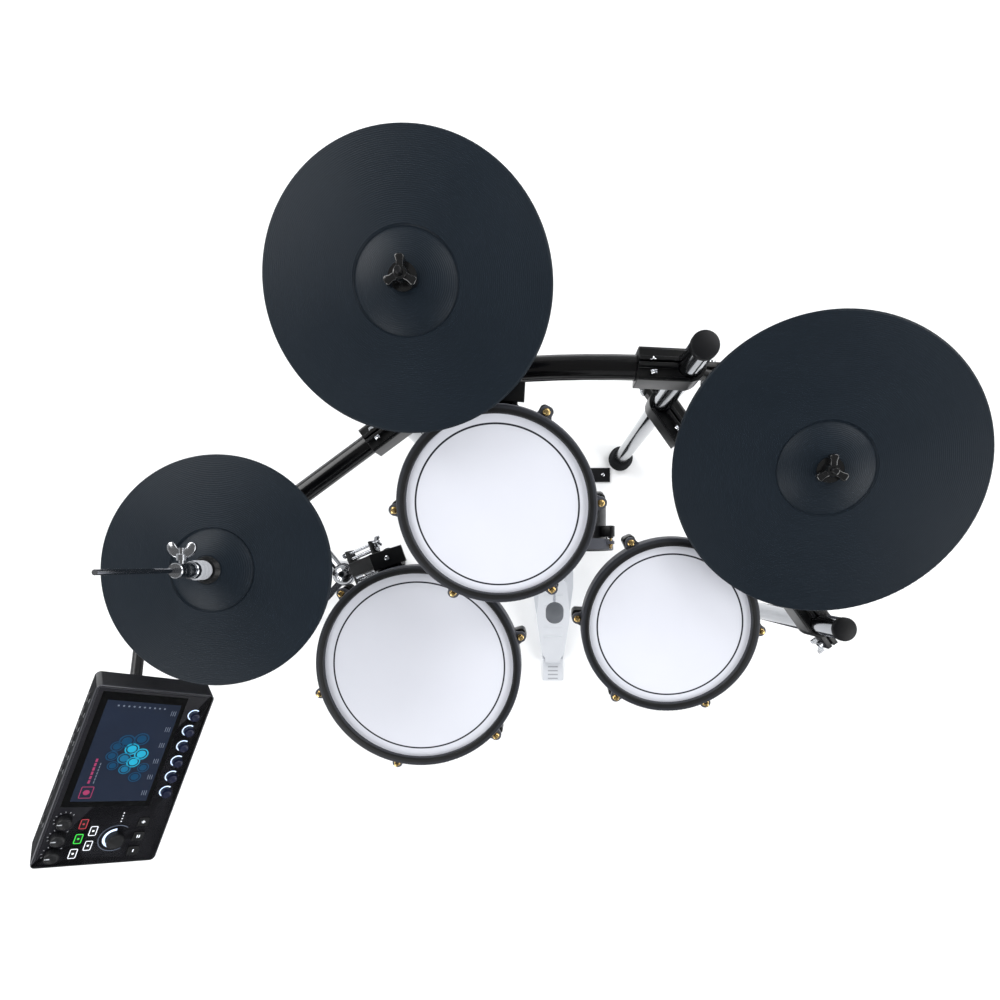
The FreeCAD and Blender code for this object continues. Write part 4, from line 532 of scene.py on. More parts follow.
class Shape:
    """A closed form in millimetres, shaped with bmesh operators in its own frame."""

    def __init__(self) -> None:
        """Start with nothing."""
        self.bm = bmesh.new()

    @classmethod
    def turned(cls, outline: Sequence[Pair], steps: int = 48) -> "Shape":
        """Turn an outline of radius and height about Z.

        Args:
            outline: Points from one end of the axis to the other, or a closed loop off the axis.
            steps: Facets round the axis.

        Returns:
            The turned shape.
        """
        shape = cls()
        spin_line(shape.bm, outline, steps, outline[0][0] > 0 and outline[-1][0] > 0)
        bmesh.ops.recalc_face_normals(shape.bm, faces=shape.bm.faces)
        return shape

    @classmethod
    def disc(cls, radius: float, high: float, steps: int, low: float = 0.0) -> "Shape":
        """Plain disc or pin between two heights."""
        return cls.turned([(0, high), (radius, high), (radius, low), (0, low)], steps)

    @classmethod
    def pan_head(cls, crown: float, shoulder: float, radius: float) -> "Shape":
        """Head of a screw, from the radii of its crown, shoulder and seat."""
        return cls.turned([(0, 3), (crown, 2.8), (shoulder, 2), (radius, 0), (0, 0)], 24)

    @classmethod
    def slab(cls, outline: Sequence[Pair], low: float, high: float) -> "Shape":
        """Raise a flat outline into a plate.

        Args:
            outline: Corners in order.
            low: Height of the underside.
            high: Height of the top.

        Returns:
            The plate.
        """
        shape = cls()
        base = shape.bm.faces.new([shape.bm.verts.new((x, y, low)) for x, y in outline])
        return shape.raised([base], high - low)

    @classmethod
    def box(cls, low: Triple, high: Triple) -> "Shape":
        """Block between two corners."""
        outline = [(low[0], low[1]), (high[0], low[1]), (high[0], high[1]), (low[0], high[1])]
        return cls.slab(outline, low[2], high[2])

    @classmethod
    def border(cls, length: float, width: float, line: float, high: float, corner: float = 1.8) -> "Shape":
        """Flat frame of a line's width.

        Args:
            length: Outer length.
            width: Outer width.
            line: Width of the line.
            high: Height above the ground that it lies on.
            corner: Outer radius of the corners.

        Returns:
            The frame.
        """
        shape = cls()
        bm = shape.bm
        for inset in (0, line):
            loop = rounded(length - 2 * inset, width - 2 * inset, corner - inset)
            verts = [bm.verts.new((x, y, 0)) for x, y in loop]
            for pair in zip(verts, verts[1:] + verts[:1]):
                bm.edges.new(pair)
        return shape.raised(bmesh.ops.bridge_loops(bm, edges=list(bm.edges))["faces"], high)

    @classmethod
    def arc(cls, radius: float, line: float, start: float, stop: float, high: float) -> "Shape":
        """Flat arc of a line's width, with a facet for every 8 degrees.

        Args:
            radius: Inner radius.
            line: Width of the line.
            start: First angle in degrees.
            stop: Last angle in degrees.
            high: Height.

        Returns:
            The arc.
        """
        shape = cls()
        bm = shape.bm
        corners = [(radius, 0, 0), (radius + line, 0, 0), (radius + line, 0, high), (radius, 0, high)]
        face = bm.faces.new([bm.verts.new(corner) for corner in corners])
        first = Matrix.Rotation(math.radians(start), 3, "Z")
        bmesh.ops.rotate(bm, cent=(0, 0, 0), matrix=first, verts=face.verts)
        bmesh.ops.spin(
            bm, geom=[face], cent=(0, 0, 0), axis=UP, dvec=(0, 0, 0), angle=math.radians(stop - start),
            steps=max(6, int((stop - start) / 8)), use_merge=False, use_duplicate=False,
        )
        bmesh.ops.recalc_face_normals(bm, faces=bm.faces)
        return shape

    def raised(self, faces: list[bmesh.types.BMFace], height: float) -> "Shape":
        """Raise flat faces into a solid.

        Args:
            faces: The faces.
            height: How far.

        Returns:
            This shape.
        """
        grown = bmesh.ops.extrude_face_region(self.bm, geom=faces)["geom"]
        tops = [item for item in grown if isinstance(item, bmesh.types.BMVert)]
        bmesh.ops.translate(self.bm, vec=UP * height, verts=tops)
        bmesh.ops.recalc_face_normals(self.bm, faces=self.bm.faces)
        return self

    def softened(self, width: float, segments: int = 2, angle: float = 28.0) -> "Shape":
        """Round every edge sharper than an angle.

        Args:
            width: Width of the rounding.
            segments: Facets across it.
            angle: Smallest angle in degrees that is rounded.

        Returns:
            This shape.
        """
        limit = math.radians(angle)
        sharp = [e for e in self.bm.edges if len(e.link_faces) == 2 and e.calc_face_angle() > limit]
        bmesh.ops.bevel(
            self.bm, geom=sharp, offset=width, offset_type="OFFSET", affect="EDGES", segments=segments,
            profile=0.5, material=-1, clamp_overlap=True,
        )
        return self

    def moved(self, place: Matrix) -> "Shape":
        """Move the shape within its own frame."""
        bmesh.ops.transform(self.bm, matrix=place, verts=self.bm.verts)
        return self

    def lifted(self, height: float) -> "Shape":
        """Move the shape up in its own frame."""
        return self.moved(Matrix.Translation((0, 0, height)))

    def ringed(self, count: int, start: float = 0.0) -> "Shape":
        """Repeat the shape evenly about Z.

        Args:
            count: How many in all.
            start: Turn of the first one in degrees.

        Returns:
            This shape.
        """
        self.moved(turn(start, "Z"))
        first = list(self.bm.verts) + list(self.bm.edges) + list(self.bm.faces)
        for step in range(1, count):
            copy = bmesh.ops.duplicate(self.bm, geom=first)["geom"]
            verts = [item for item in copy if isinstance(item, bmesh.types.BMVert)]
            around = Matrix.Rotation(TAU * step / count, 3, "Z")
            bmesh.ops.rotate(self.bm, cent=(0, 0, 0), matrix=around, verts=verts)
        return self

    def mesh(self) -> bpy.types.Mesh:
        """Give the shape as a mesh.

        Returns:
            The mesh, still in millimetres.
        """
        data = bpy.data.meshes.new("shape")
        self.bm.to_mesh(data)
        return data


def place_at(x: float, y: float, z: float) -> Matrix:
    """Give the place of an unturned piece from millimetres."""
    return Matrix.Translation(Vector((x, y, z)) * MM)


def turn(degrees: float, axis: str | Vector) -> Matrix:
    """Give a turn about an axis."""
    return Matrix.Rotation(math.radians(degrees), 4, axis)


def aim(point: Vector, way: Vector, side: Vector) -> Matrix:
    """Give a frame at a point with Z along one direction and X towards another.

    Args:
        point: Origin in metres.
        way: Direction of Z.
        side: Direction that X leans to.

    Returns:
        The frame.
    """
    z = way.normalized()
    y = z.cross(side).normalized()
    x = y.cross(z)
    turned = Matrix((x, y, z)).transposed().to_4x4()
    return Matrix.Translation(point) @ turned


def fit_out(piece: bpy.types.Object, body: str, nodes: Sequence[str], angle: float) -> None:
    """Shade a new piece and mount it on its body.

    Args:
        piece: The object.
        body: The body that it rides on.
        nodes: Solids that it stands for.
        angle: Angle in degrees above which an edge shows.
    """
    for face in piece.data.polygons:
        face.use_smooth = True
    piece.data.set_sharp_from_angle(angle=math.radians(angle))
    bpy.context.scene.collection.objects.link(piece)
    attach(piece, body)
    if nodes:
        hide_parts(*nodes)
    log.info("%s: %d faces", piece.name, len(piece.data.polygons))


def assemble(
    name: str,
    parts: Iterable[tuple[Shape, Iterable[Matrix]]],
    finish: Finish,
    body: str,
    nodes: Sequence[str] = (),
) -> None:
    """Join shapes at their places into one piece.

    Args:
        name: Name of the piece.
        parts: Shapes, each with the places in metres where it stands.
        finish: Surface of the piece.
        body: Body that it rides on.
        nodes: Solids that it stands for.
    """
    whole = bmesh.new()
    for shape, places in parts:
        data = shape.mesh()
        for place in places:
            count = len(whole.verts)
            whole.from_mesh(data)
            whole.verts.ensure_lookup_table()
            bmesh.ops.transform(whole, matrix=place @ Matrix.Scale(MM, 4), verts=whole.verts[count:])
        bpy.data.meshes.remove(data)
    data = bpy.data.meshes.new(name)
    whole.to_mesh(data)
    whole.free()
    data.materials.append(finish.paint())
    fit_out(bpy.data.objects.new(name, data), body, nodes, EDGE_ANGLE)


def soften_node(
    node: str,
    name: str,
    width_mm: float,
    finish: Finish,
    regions: Sequence[tuple[FaceTest, Finish]] = (),
    edges: Finish | None = None,
) -> None:
    """Stand a copy with rounded edges in for a solid of the frame.

    Args:
        node: The solid.
        name: Name of the copy.
        width_mm: Width of the rounding.
        finish: Main surface.
        regions: Tests of a face centre in metres, each with the surface of the faces that pass.
        edges: Surface of the rounded edges, where they differ.
    """
    source = frame["nodes"][node]
    bm = bmesh.new()
    bm.from_mesh(source.data)
    bmesh.ops.remove_doubles(bm, verts=bm.verts, dist=NODE_SEAM)
    bmesh.ops.dissolve_limit(bm, angle_limit=math.radians(FLAT_ANGLE), verts=bm.verts, edges=bm.edges)
    data = bpy.data.meshes.new(name)
    data.materials.append(finish.paint())
    for number, (test, surface) in enumerate(regions, start=1):
        data.materials.append(surface.paint())
        for face in bm.faces:
            if test(face.calc_center_median()):
                face.material_index = number
    bm.to_mesh(data)
    bm.free()
    piece = bpy.data.objects.new(name, data)
    fit_out(piece, source["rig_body"], [node], NODE_EDGE_ANGLE)
    round_off = piece.modifiers.new("rounded edges", "BEVEL")
    round_off.width = width_mm * MM
    round_off.segments = 2
    round_off.limit_method = "ANGLE"
    round_off.angle_limit = math.radians(ROUND_ANGLE)
    round_off.use_clamp_overlap = False
    round_off.harden_normals = False
    if edges is not None:
        data.materials.append(edges.paint())
        round_off.material = len(data.materials) - 1


def dress(node: str, finish: Finish) -> None:
    """Paint a solid of the frame that keeps its own shape.

    Args:
        node: The solid.
        finish: Its surface.
    """
    target = frame["nodes"][node]
    target.data.materials.clear()
    target.data.materials.append(finish.paint())
    log.info("%s keeps its solid in %s", node, finish.name)


def near_line(start: Vector, stop: Vector, reach_mm: float) -> FaceTest:
    """Give a test for points close to a straight rod.

    Args:
        start: One end in metres.
        stop: The other end.
        reach_mm: Largest distance from the axis.

    Returns:
        The test.
    """
    way = (stop - start).normalized()
    length = (stop - start).length

    def close(point: Vector) -> bool:
        """Tell whether a point lies on the rod.

        Args:
            point: The point in metres.

        Returns:
            Whether it does.
        """
        along = (point - start).dot(way)
        away = (point - start - way * along).length
        return 0 <= along <= length and away < reach_mm * MM

    return close


@dataclass
class Rack:
    """Tube rack with its clamps, bolts, plugs and feet."""

    tube: float = 19.05
    plug_over: float = 1.2
    rear_height: float = 740.0
    side_height: float = 550.0
    foot: float = 33.0
    foot_height: float = 34.0
    foot_clearance: float = 0.15
    groove: float = 2.0
    flange: float = 29.5
    flange_half: float = 7.5
    bolt_along: float = 56.0
    washer: float = 1.0
    posts: tuple[Triple, ...] = ((-708, -39, 690), (-290, 270, 800), (192, 296, 835), (481, -112, 650))

    def build(self) -> None:
        """Make and dress every piece of the rack."""
        dress("rack_posts", CHROME)
        dress("rack_bars", LACQUER)
        soften_node("rack_clamps", "clamp_castings", 0.9, NYLON)
        soften_node("clamp_bolts", "clamp_wing_bolts", 0.5, ZINC)
        self.make_plugs()
        self.make_feet()
        self.make_flange_bolts()

    def make_plugs(self) -> None:
        """Crowned plugs in the tops of the posts."""
        rim = self.tube + self.plug_over
        plug = Shape.turned([
            (0, -6), (17, -6), (17, 0), (rim, 0), (rim, 6.2), (rim - 0.3, 7.0), (rim - 1.0, 7.7),
            (rim - 1.8, 8.0), (rim - 6, 8.9), (rim - 12, 9.6), (0, 10),
        ], 64)
        places = [place_at(x, y, top) for x, y, top in self.posts]
        assemble("post_plugs", [(plug, places)], PLUG, Body.RACK.value, ["post_ends"])

    def make_feet(self) -> None:
        """Ribbed rubber feet at the bottoms of the posts."""
        seat = self.tube + self.foot_clearance
        rim = self.foot
        dip = rim - self.groove
        foot = Shape.turned([
            (0, 0), (rim - 1, 0), (rim, 1), (rim, 6), (dip, 8), (dip, 10), (rim, 12), (rim, 14), (dip, 16),
            (dip, 18), (rim, 20), (rim, 22), (25.5, 32.5), (24, self.foot_height), (seat, self.foot_height),
            (seat, 6), (0, 6),
        ], 64)
        places = [place_at(x, y, 0) for x, y, _ in self.posts]
        assemble("post_feet", [(foot, places)], RUBBER, Body.RACK.value, ["post_ends"])

    def post_point(self, index: int, height: float) -> Vector:
        """Point on a post's axis in metres."""
        x, y, _ = self.posts[index]
        return Vector((x, y, height)) * MM

    def make_flange_bolts(self) -> None:
        """Hexagon bolts through the flanges of the clamps that join bars to posts."""
        head = Shape.turned([(0, 4), (4.6, 4), (5.2, 3.2), (5.2, 0), (0, 0)], 6)
        washer = Shape.disc(6.2, self.washer, 24)
        bars = ((1, 2, self.rear_height), (1, 0, self.side_height), (2, 3, self.side_height))
        places = []
        for first, last, height in bars:
            for here, there in ((first, last), (last, first)):
                places += self.flange_places(self.post_point(here, height), self.post_point(there, height))
        raised = [place @ place_at(0, 0, self.washer) for place in places]
        assemble("flange_bolts", [(head, raised), (washer, places)], ZINC, Body.RACK.value)

    def flange_places(self, corner: Vector, other: Vector) -> list[Matrix]:
        """Give the places of the bolts round one end of a bar.

        Args:
            corner: Where the bar meets its post, in metres.
            other: Where it meets the other post.

        Returns:
            Frames with Z out of the flange.
        """
        way = (other - corner).normalized()
        across = UP.cross(way)
        places = []
        for side in (-1, 1):
            for level in (-1, 1):
                spot = corner + (way * self.bolt_along + UP * level * self.flange) * MM
                spot += across * side * self.flange_half * MM
                places.append(aim(spot, across * side, UP))
        return places


@dataclass
class MeshPad:
    """One mesh drum pad: shell, hoop, head, lugs and sensor."""

    name: str
    centre: Triple
    tilt: float
    radius: float
    lug_turn: float
    body: Body
    mount_turn: float | None = None
    knuckle_height: float = -50.0
    cover_reach: float = 30.0
    cover_top: float = 15.0
    hoop_width: float = 13.3
    rod_reach: float = 18.8
    lug_count: int = 6
    lug_top: float = -22.0
    lug_bottom: float = -47.0
    lug_inset: float = 3.8
    lug_half: float = 10.0
    lug_trim: float = 2.0
    lug_corner: float = 4.0
    ring_inset: float = 12.5

    def place(self) -> Matrix:
        """Frame at the centre of the head, Z out of it."""
        return place_at(*self.centre) @ turn(self.tilt, "X")

    def build(self) -> None:
        """Make and dress every piece of the pad."""
        where = {
            "centre": tuple(value * MM for value in self.centre),
            "turn": (math.radians(self.tilt), 0.0, 0.0),
        }
        dress(f"{self.name}_head", MeshHead(
            f"{self.name}_woven_polyester", "#d8dae2", "#d2d4dd", 0.75, specular=0.2, mottle_mm=120,
            ring_mm=self.radius - self.ring_inset, **where,
        ))
        # The hoop's rubber carries painted highlight bands at its rims and outer side.
        dress(f"{self.name}_hoop", HoopRubber(
            f"{self.name}_hoop_rubber", "#08090b", "#0a0b0d", 0.45, specular=0.3, grain=(0.9, 0.025),
            inner_mm=self.radius, outer_mm=self.radius + self.hoop_width, **where,
        ))
        dress(f"{self.name}_shell", SHELL)
        if self.mount_turn is not None:
            dress(f"{self.name}_trigger", FOAM)
            self.make_cover_screw(self.mount_turn)
        self.make_lugs()
        self.make_rods()

    def make_cover_screw(self, mount_turn: float) -> None:
        """Pan-head screw in the cover plate of the pad's fork.

        Args:
            mount_turn: Side of the pad that the fork stands on, in degrees.
        """
        spot = place_at(self.radius + self.cover_reach, 0, self.knuckle_height + self.cover_top)
        place = self.place() @ turn(mount_turn, "Z") @ spot
        screw = Shape.pan_head(2.6, 4, 4.6)
        assemble(f"{self.name}_cover_screw", [(screw, [place])], ZINC, Body.RACK.value)

    def ring_of(self, shapes: Sequence[Shape]) -> list[tuple[Shape, list[Matrix]]]:
        """Repeat shapes at every lug of the pad."""
        return [(shape.ringed(self.lug_count, self.lug_turn), [self.place()]) for shape in shapes]

    def make_lugs(self) -> None:
        """Moulded lug casings, each with a swivel nut above it."""
        rods = self.radius + self.rod_reach
        wall = self.radius - self.lug_inset
        half = self.lug_half
        end = rods + half - self.lug_trim
        side = [(wall, half), (end - self.lug_corner, half), (end, half - self.lug_corner)]
        outline = [(x, -y) for x, y in side] + side[::-1]
        casing = Shape.slab(outline, self.lug_bottom, self.lug_top).softened(2.0, 3)
        nut = Shape.turned([(0, 3.2), (5.4, 3.2), (6.2, 2.2), (6.2, -2), (0, -2)], 24)
        nut.moved(Matrix.Translation((rods, 0, self.lug_top)))
        parts = self.ring_of([casing, nut])
        assemble(f"{self.name}_lug_casings", parts, NYLON, self.body.value, [f"{self.name}_lugs"])

    def make_rods(self) -> None:
        """Brass tension rods: stem, washer, collar and square key head."""
        stem = Shape.disc(3, -5, 16, self.lug_top + 2)
        collar = Shape.turned([
            (0, -5), (5.2, -5), (5.2, -3.8), (4.4, -3.4), (4.4, -1.6), (3.6, -0.8), (0, -0.8),
        ], 24)
        key = Shape.box((-2.7, -2.7, -1), (2.7, 2.7, 5)).softened(0.5)
        outward = Matrix.Translation((self.radius + self.rod_reach, 0, 0))
        parts = self.ring_of([shape.moved(outward) for shape in (stem, collar, key)])
        assemble(f"{self.name}_tension_rods", parts, BRASS, self.body.value, [f"{self.name}_lugs"])


@dataclass
class CymbalPad:
    """A rubber cymbal pad and, for the leaning ones, the fittings on its stem."""

    name: str
    centre: Triple
    tilt: float
    lean: float
    under: float = 13.4
    over: float = 23.6
    nut_base: float = 28.6
    lobe_lift: float = 0.6
    seat_height: float = 9.0
    stem_low: float = -26.0
    stem_high: float = 60.0
    stem_reach: float = 6.5

    def place(self) -> Matrix:
        """Frame at the middle of the pad's edge, Z out of the bell.

        Returns:
            The frame.
        """
        lean = math.radians(self.lean)
        hinge = Vector((-math.sin(lean), math.cos(lean), 0))
        return place_at(*self.centre) @ turn(self.tilt, hinge)

    def dress_pad(self) -> None:
        """Lay the grooved rubber on the pad."""
        place = self.place()
        dress(f"{self.name}_pad", CymbalRubber(
            f"{self.name}_grooved_rubber", "#131a21", "#171f27", 0.44, specular=0.13, mottle_mm=160,
            centre=tuple(place.translation), turn=tuple(place.to_euler("XYZ")),
        ))

    def fitting_shapes(self) -> list[tuple[Shape, list[Matrix]]]:
        """Seat, washer and three-lobed nut for a leaning pad's stem.

        Returns:
            Shapes with their places.
        """
        low = self.under - self.seat_height
        seat = Shape.turned([
            (6.4, low), (16.4, low), (17, low + 0.8), (17, low + 4.5), (9, self.under), (6.4, self.under),
        ])
        over = self.over
        washer = Shape.turned([
            (4.2, over), (9, over), (17, over + 2.5), (17, self.nut_base), (4.2, self.nut_base),
        ])
        hub = Shape.turned([
            (4.2, 0), (9, 0), (9.6, 4), (8.6, 12), (7.4, 14.4), (5.4, 15), (4.2, 15),
        ], 32).lifted(self.nut_base)
        side = [(5, 4.6), (12, 4.2), (17, 5.6), (19.6, 5.2), (21, 2.4)]
        outline = [(x, -y) for x, y in side] + side[::-1]
        lobe = Shape.slab(outline, 0, 13).softened(1.5, 3).lifted(self.nut_base + self.lobe_lift)
        return [(shape, [self.place()]) for shape in (seat, washer, hub, lobe.ringed(3, 90))]

    def stem_test(self) -> FaceTest:
        """Give a test for the blackened stem above the pad's tilter."""
        ends = [self.place() @ (UP * height * MM) for height in (self.stem_low, self.stem_high)]
        return near_line(ends[0], ends[1], self.stem_reach)


@dataclass
class CymbalStands:
    """The two leaning cymbal pads with their arms and fittings."""

    crash: CymbalPad
    ride: CymbalPad

    def build(self) -> None:
        """Dress the pads and make the fittings."""
        pads = (self.crash, self.ride)
        parts = []
        for pad in pads:
            pad.dress_pad()
            parts += pad.fitting_shapes()
        assemble("cymbal_fittings", parts, GLOSSY_NYLON, Body.RACK.value, ["cymbal_nuts"])
        stems = [(pad.stem_test(), PAINT) for pad in pads]
        soften_node("cymbal_arms", "cymbal_arm_castings", 0.6, LACQUER, stems)


@dataclass
class HiHat:
    """Hi-hat pad with its clutch, pull rod, stand and footboard; heights are above the floor."""

    pad: CymbalPad
    axis: Pair = (-458.0, -9.0)
    collar_low: float = 578.0
    collar_high: float = 622.0
    collar_bore: float = 15.5
    seat_low: float = 829.0
    leg_low: float = 24.0
    leg_start: float = 21.0
    leg_foot_top: float = 26.5
    leg_foot_start: float = 205.0
    board_half: float = 40.0
    board_rear: float = 20.0
    bell_top: float = 884.0
    washer_height: float = 6.0
    felt_bases: tuple[float, ...] = (890.2, 897.2, 904.2)
    felt_height: float = 6.6
    clutch_top: float = 946.0
    wing_height: float = 933.0
    bore: float = 3.1

    def build(self) -> None:
        """Make and dress every piece of the hi-hat."""
        self.pad.dress_pad()
        dress("hihat_rod", CHROME)
        soften_node("hihat_stand", "hihat_stand_tubes", 0.5, CHROME, [
            (lambda p: p.z > self.seat_low * MM, NYLON), (self.on_collar, NYLON),
        ])
        legs = [(self.on_leg, CHROME), (self.on_foot, RUBBER)]
        soften_node("hihat_legs", "hihat_base_legs", 0.6, PAINT, legs)
        soften_node("hihat_footboard", "hihat_pedal_board", 0.8, PAINT)
        self.make_clutch()
        self.make_felts()

    def off_axis(self, point: Vector) -> float:
        """Distance from the stand's axis in millimetres."""
        return math.hypot(point.x / MM - self.axis[0], point.y / MM - self.axis[1])

    def on_collar(self, point: Vector) -> bool:
        """Tell whether a point lies on the collar of the stand."""
        level = self.collar_low * MM <= point.z <= self.collar_high * MM
        return level and self.off_axis(point) > self.collar_bore

    def on_board(self, point: Vector) -> bool:
        """Tell whether a point lies over the floor frame of the pedal."""
        return abs(point.x / MM - self.axis[0]) < self.board_half and point.y / MM < self.board_rear

    def on_leg(self, point: Vector) -> bool:
        """Tell whether a point lies on a plated leg."""
        outside = self.off_axis(point) > self.leg_start and not self.on_board(point)
        return outside and point.z > self.leg_low * MM

    def on_foot(self, point: Vector) -> bool:
        """Tell whether a point lies on the rubber foot of a leg."""
        outside = self.off_axis(point) > self.leg_foot_start and not self.on_board(point)
        return outside and point.z < self.leg_foot_top * MM

    def make_clutch(self) -> None:
        """Plated clutch: sleeve, collar, lock nut and two-lobed wing screw."""
        place = place_at(*self.axis, 0)
        tube = Shape.turned([
            (self.bore, 870), (13, 870), (13, 876.8), (6.2, 876.8), (6.2, 918), (8.2, 919), (9, 920),
            (9, 928), (8.4, 929), (8.4, 937), (9, 938), (9, 945), (8.2, self.clutch_top),
            (self.bore, self.clutch_top),
        ], 40)
        nut = Shape.turned([
            (6.35, 911), (10.4, 911), (11.2, 912), (11.2, 917.5), (10.4, 918.6), (6.35, 918.6),
        ], 12)
        stem = Shape.disc(3.4, 27, 20, 8)
        boss = Shape.turned([(0, 20), (5.2, 20), (6, 19), (6, 12), (0, 12)], 24)
        lobe = [
            (2, 14), (9, 16), (14, 20), (17, 25), (17.4, 30), (15, 33.6), (11, 34.4), (7.5, 32), (5, 27),
            (0, 24),
        ]
        lobes = [Shape.slab([(side * x, y) for x, y in lobe], -2.2, 2.2).softened(1.4, 3) for side in (1, -1)]
        wings = place_at(*self.axis, self.wing_height)
        outward = wings @ turn(-90, "X")
        parts = [(tube, [place]), (nut, [place]), (stem, [outward]), (boss, [outward])]
        parts += [(shape, [wings]) for shape in lobes]
        assemble("hihat_clutch_body", parts, CHROME, Body.HIHAT.value, ["hihat_clutch"])

    def make_felts(self) -> None:
        """Rubber base washer and the felts that grip the bell."""
        place = place_at(*self.axis, 0)
        low = self.bell_top
        high = low + self.washer_height
        washer = Shape.turned([(6.4, low), (17.4, low), (18, low + 0.8), (14.4, high), (6.4, high)])
        assemble("hihat_base_washer", [(washer, [place])], NYLON, Body.HIHAT.value, ["hihat_clutch"])
        tall = self.felt_height
        felt = [
            (6.4, 0), (10.2, 0), (11.9, 1.4), (12.4, tall / 2), (11.9, tall - 1.4), (10.2, tall), (6.4, tall),
        ]
        felts = [(Shape.turned([(r, base + z) for r, z in felt]), [place]) for base in self.felt_bases]
        assemble("hihat_felts", felts, FELT, Body.HIHAT.value, ["hihat_clutch"])


@dataclass
class SupportArms:
    """Arms of the pads and the module, with the screw adjuster from the snare's ball joint to its fork."""

    ball: Triple = (-378.0, -20.0, 612.0)
    ball_reach: float = 20.5
    snare_hub: Triple = (-286.3, 12.9, 660.3)
    snare_grip: Triple = (-506.3, 110.1, 550.0)
    arm_reach: float = 8.6
    near_plate: float = 26.0
    far_plate: float = 82.0
    plate: float = 5.0
    rod_offset: float = 19.0
    bolt_offset: float = 29.0
    rod_reach: float = 3.4
    rod_under: float = 13.0
    rod_over: float = 18.0
    nut_height: float = 4.0

    def build(self) -> None:
        """Split the arms into painted forks and plated rods, and add the adjuster's fasteners."""
        ball = Vector(self.ball) * MM
        place = self.frame()
        thread = ThreadedSteel(
            "rolled_thread_steel", "#dfe1e5", "#b9bcc2", 0.16, 1.0,
            centre=tuple(place.translation), turn=tuple(place.to_euler("XYZ")),
        )
        offsets = (-self.rod_offset, self.rod_offset, -self.bolt_offset)
        soften_node("support_arms", "support_arm_castings", 0.7, PAINT, [
            (near_line(Vector(self.snare_grip) * MM, ball, self.arm_reach), CHROME),
            (lambda p: (p - ball).length < self.ball_reach * MM, CHROME),
            *((self.shaft_test(place, offset), thread) for offset in offsets),
        ])
        self.make_adjuster(place)

    def frame(self) -> Matrix:
        """Frame at the ball with Z along the arm to the snare and X level.

        Returns:
            The frame.
        """
        ball = Vector(self.ball) * MM
        way = Vector(self.snare_hub) * MM - ball
        return aim(ball, way, way.cross(UP))

    def shaft_test(self, place: Matrix, offset: float) -> FaceTest:
        """Give a test for one threaded rod of the adjuster.

        Args:
            place: Frame of the adjuster.
            offset: Distance of the rod from its middle.

        Returns:
            The test.
        """
        heights = (self.near_plate - self.rod_under, self.far_plate + self.rod_over)
        ends = [(place @ place_at(offset, 0, height)).translation for height in heights]
        return near_line(ends[0], ends[1], self.rod_reach)

    def make_adjuster(self, place: Matrix) -> None:
        """Nuts on the adjuster's rods, and the head and wing of its long bolt.

        Args:
            place: Frame of the adjuster.
        """
        low = self.near_plate
        high = self.far_plate + self.plate
        nut = Shape.turned([(3.3, 4), (5.6, 4), (6, 3.4), (6, 0.6), (5.6, 0), (3.3, 0)], 6)
        rods = [place @ place_at(side * self.rod_offset, 0, 0) for side in (-1, 1)]
        nuts = [spot @ place_at(0, 0, level) for spot in rods for level in (high, low - self.nut_height)]
        head = Shape.disc(4.6, low - 8, 6, low - 12.4)
        outline = [(-9, 6), (-9, 14), (-5, 15), (0, 9), (5, 15), (9, 14), (9, 6), (4, 3), (-4, 3)]
        wing = Shape.slab(outline, -1.8, 1.8).softened(0.9).moved(turn(90, "X"))
        bolt = place @ place_at(-self.bolt_offset, 0, 0)
        parts = [(nut, nuts), (head, [bolt]), (wing, [bolt @ place_at(0, 0, high)])]
        assemble("snare_adjuster_bolts", parts, CHROME, Body.RACK.value)


@dataclass
class KickStation:
    """Kick pad tower and the pedal in front of it."""

    axle: float = 130.0
    beater_length: float = 170.0
    beater_lean: float = 45.0
    beater_reach: float = 36.0
    heel_middle: float = -312.0
    heel_plate: float = 6.0
    strip_size: Triple = (28.0, 3.6, 0.4)
    strips: tuple[float, ...] = (-16.5, -5.5, 5.5, 16.5)
    tower_plate: float = 5.0
    screw_x: float = 143.0
    screw_y: float = 251.0

    def build(self) -> None:
        """Dress the tower and the pedal, and add the small fittings."""
        soften_node("kick_tower", "kick_tower_plates", 0.8, PAINT)
        soften_node("pedal_frame", "pedal_frame_casting", 0.8, PALE_COAT)
        soften_node("pedal_footboard", "pedal_board", 0.8, PALE_COAT)
        head = place_at(0, 0, self.axle) @ turn(self.beater_lean, "X") @ place_at(0, 0, self.beater_length)
        soften_node("pedal_beater", "pedal_beater_head", 0.5, ZINC, [
            (lambda p: (p - head.translation).length < self.beater_reach * MM, BEATER_FELT),
        ])
        self.make_screws()
        self.make_heel_strips()

    def make_screws(self) -> None:
        """Pan-head screws at the ends of the tower's cross plate."""
        spots = [place_at(side * self.screw_x, self.screw_y, self.tower_plate) for side in (-1, 1)]
        assemble("tower_screws", [(Shape.pan_head(3, 4.6, 5.2), spots)], ZINC, Body.RACK.value)

    def make_heel_strips(self) -> None:
        """Grey strips on the heel plate, painted shade that stands for its slots."""
        length, width, height = self.strip_size
        strip = Shape.box((-length / 2, -width / 2, 0), (length / 2, width / 2, height)).softened(0.15, 1)
        spots = [place_at(0, self.heel_middle + y, self.heel_plate) for y in self.strips]
        assemble("heel_strips", [(strip, spots)], HEEL_SLOT_SHADE, Body.RACK.value)


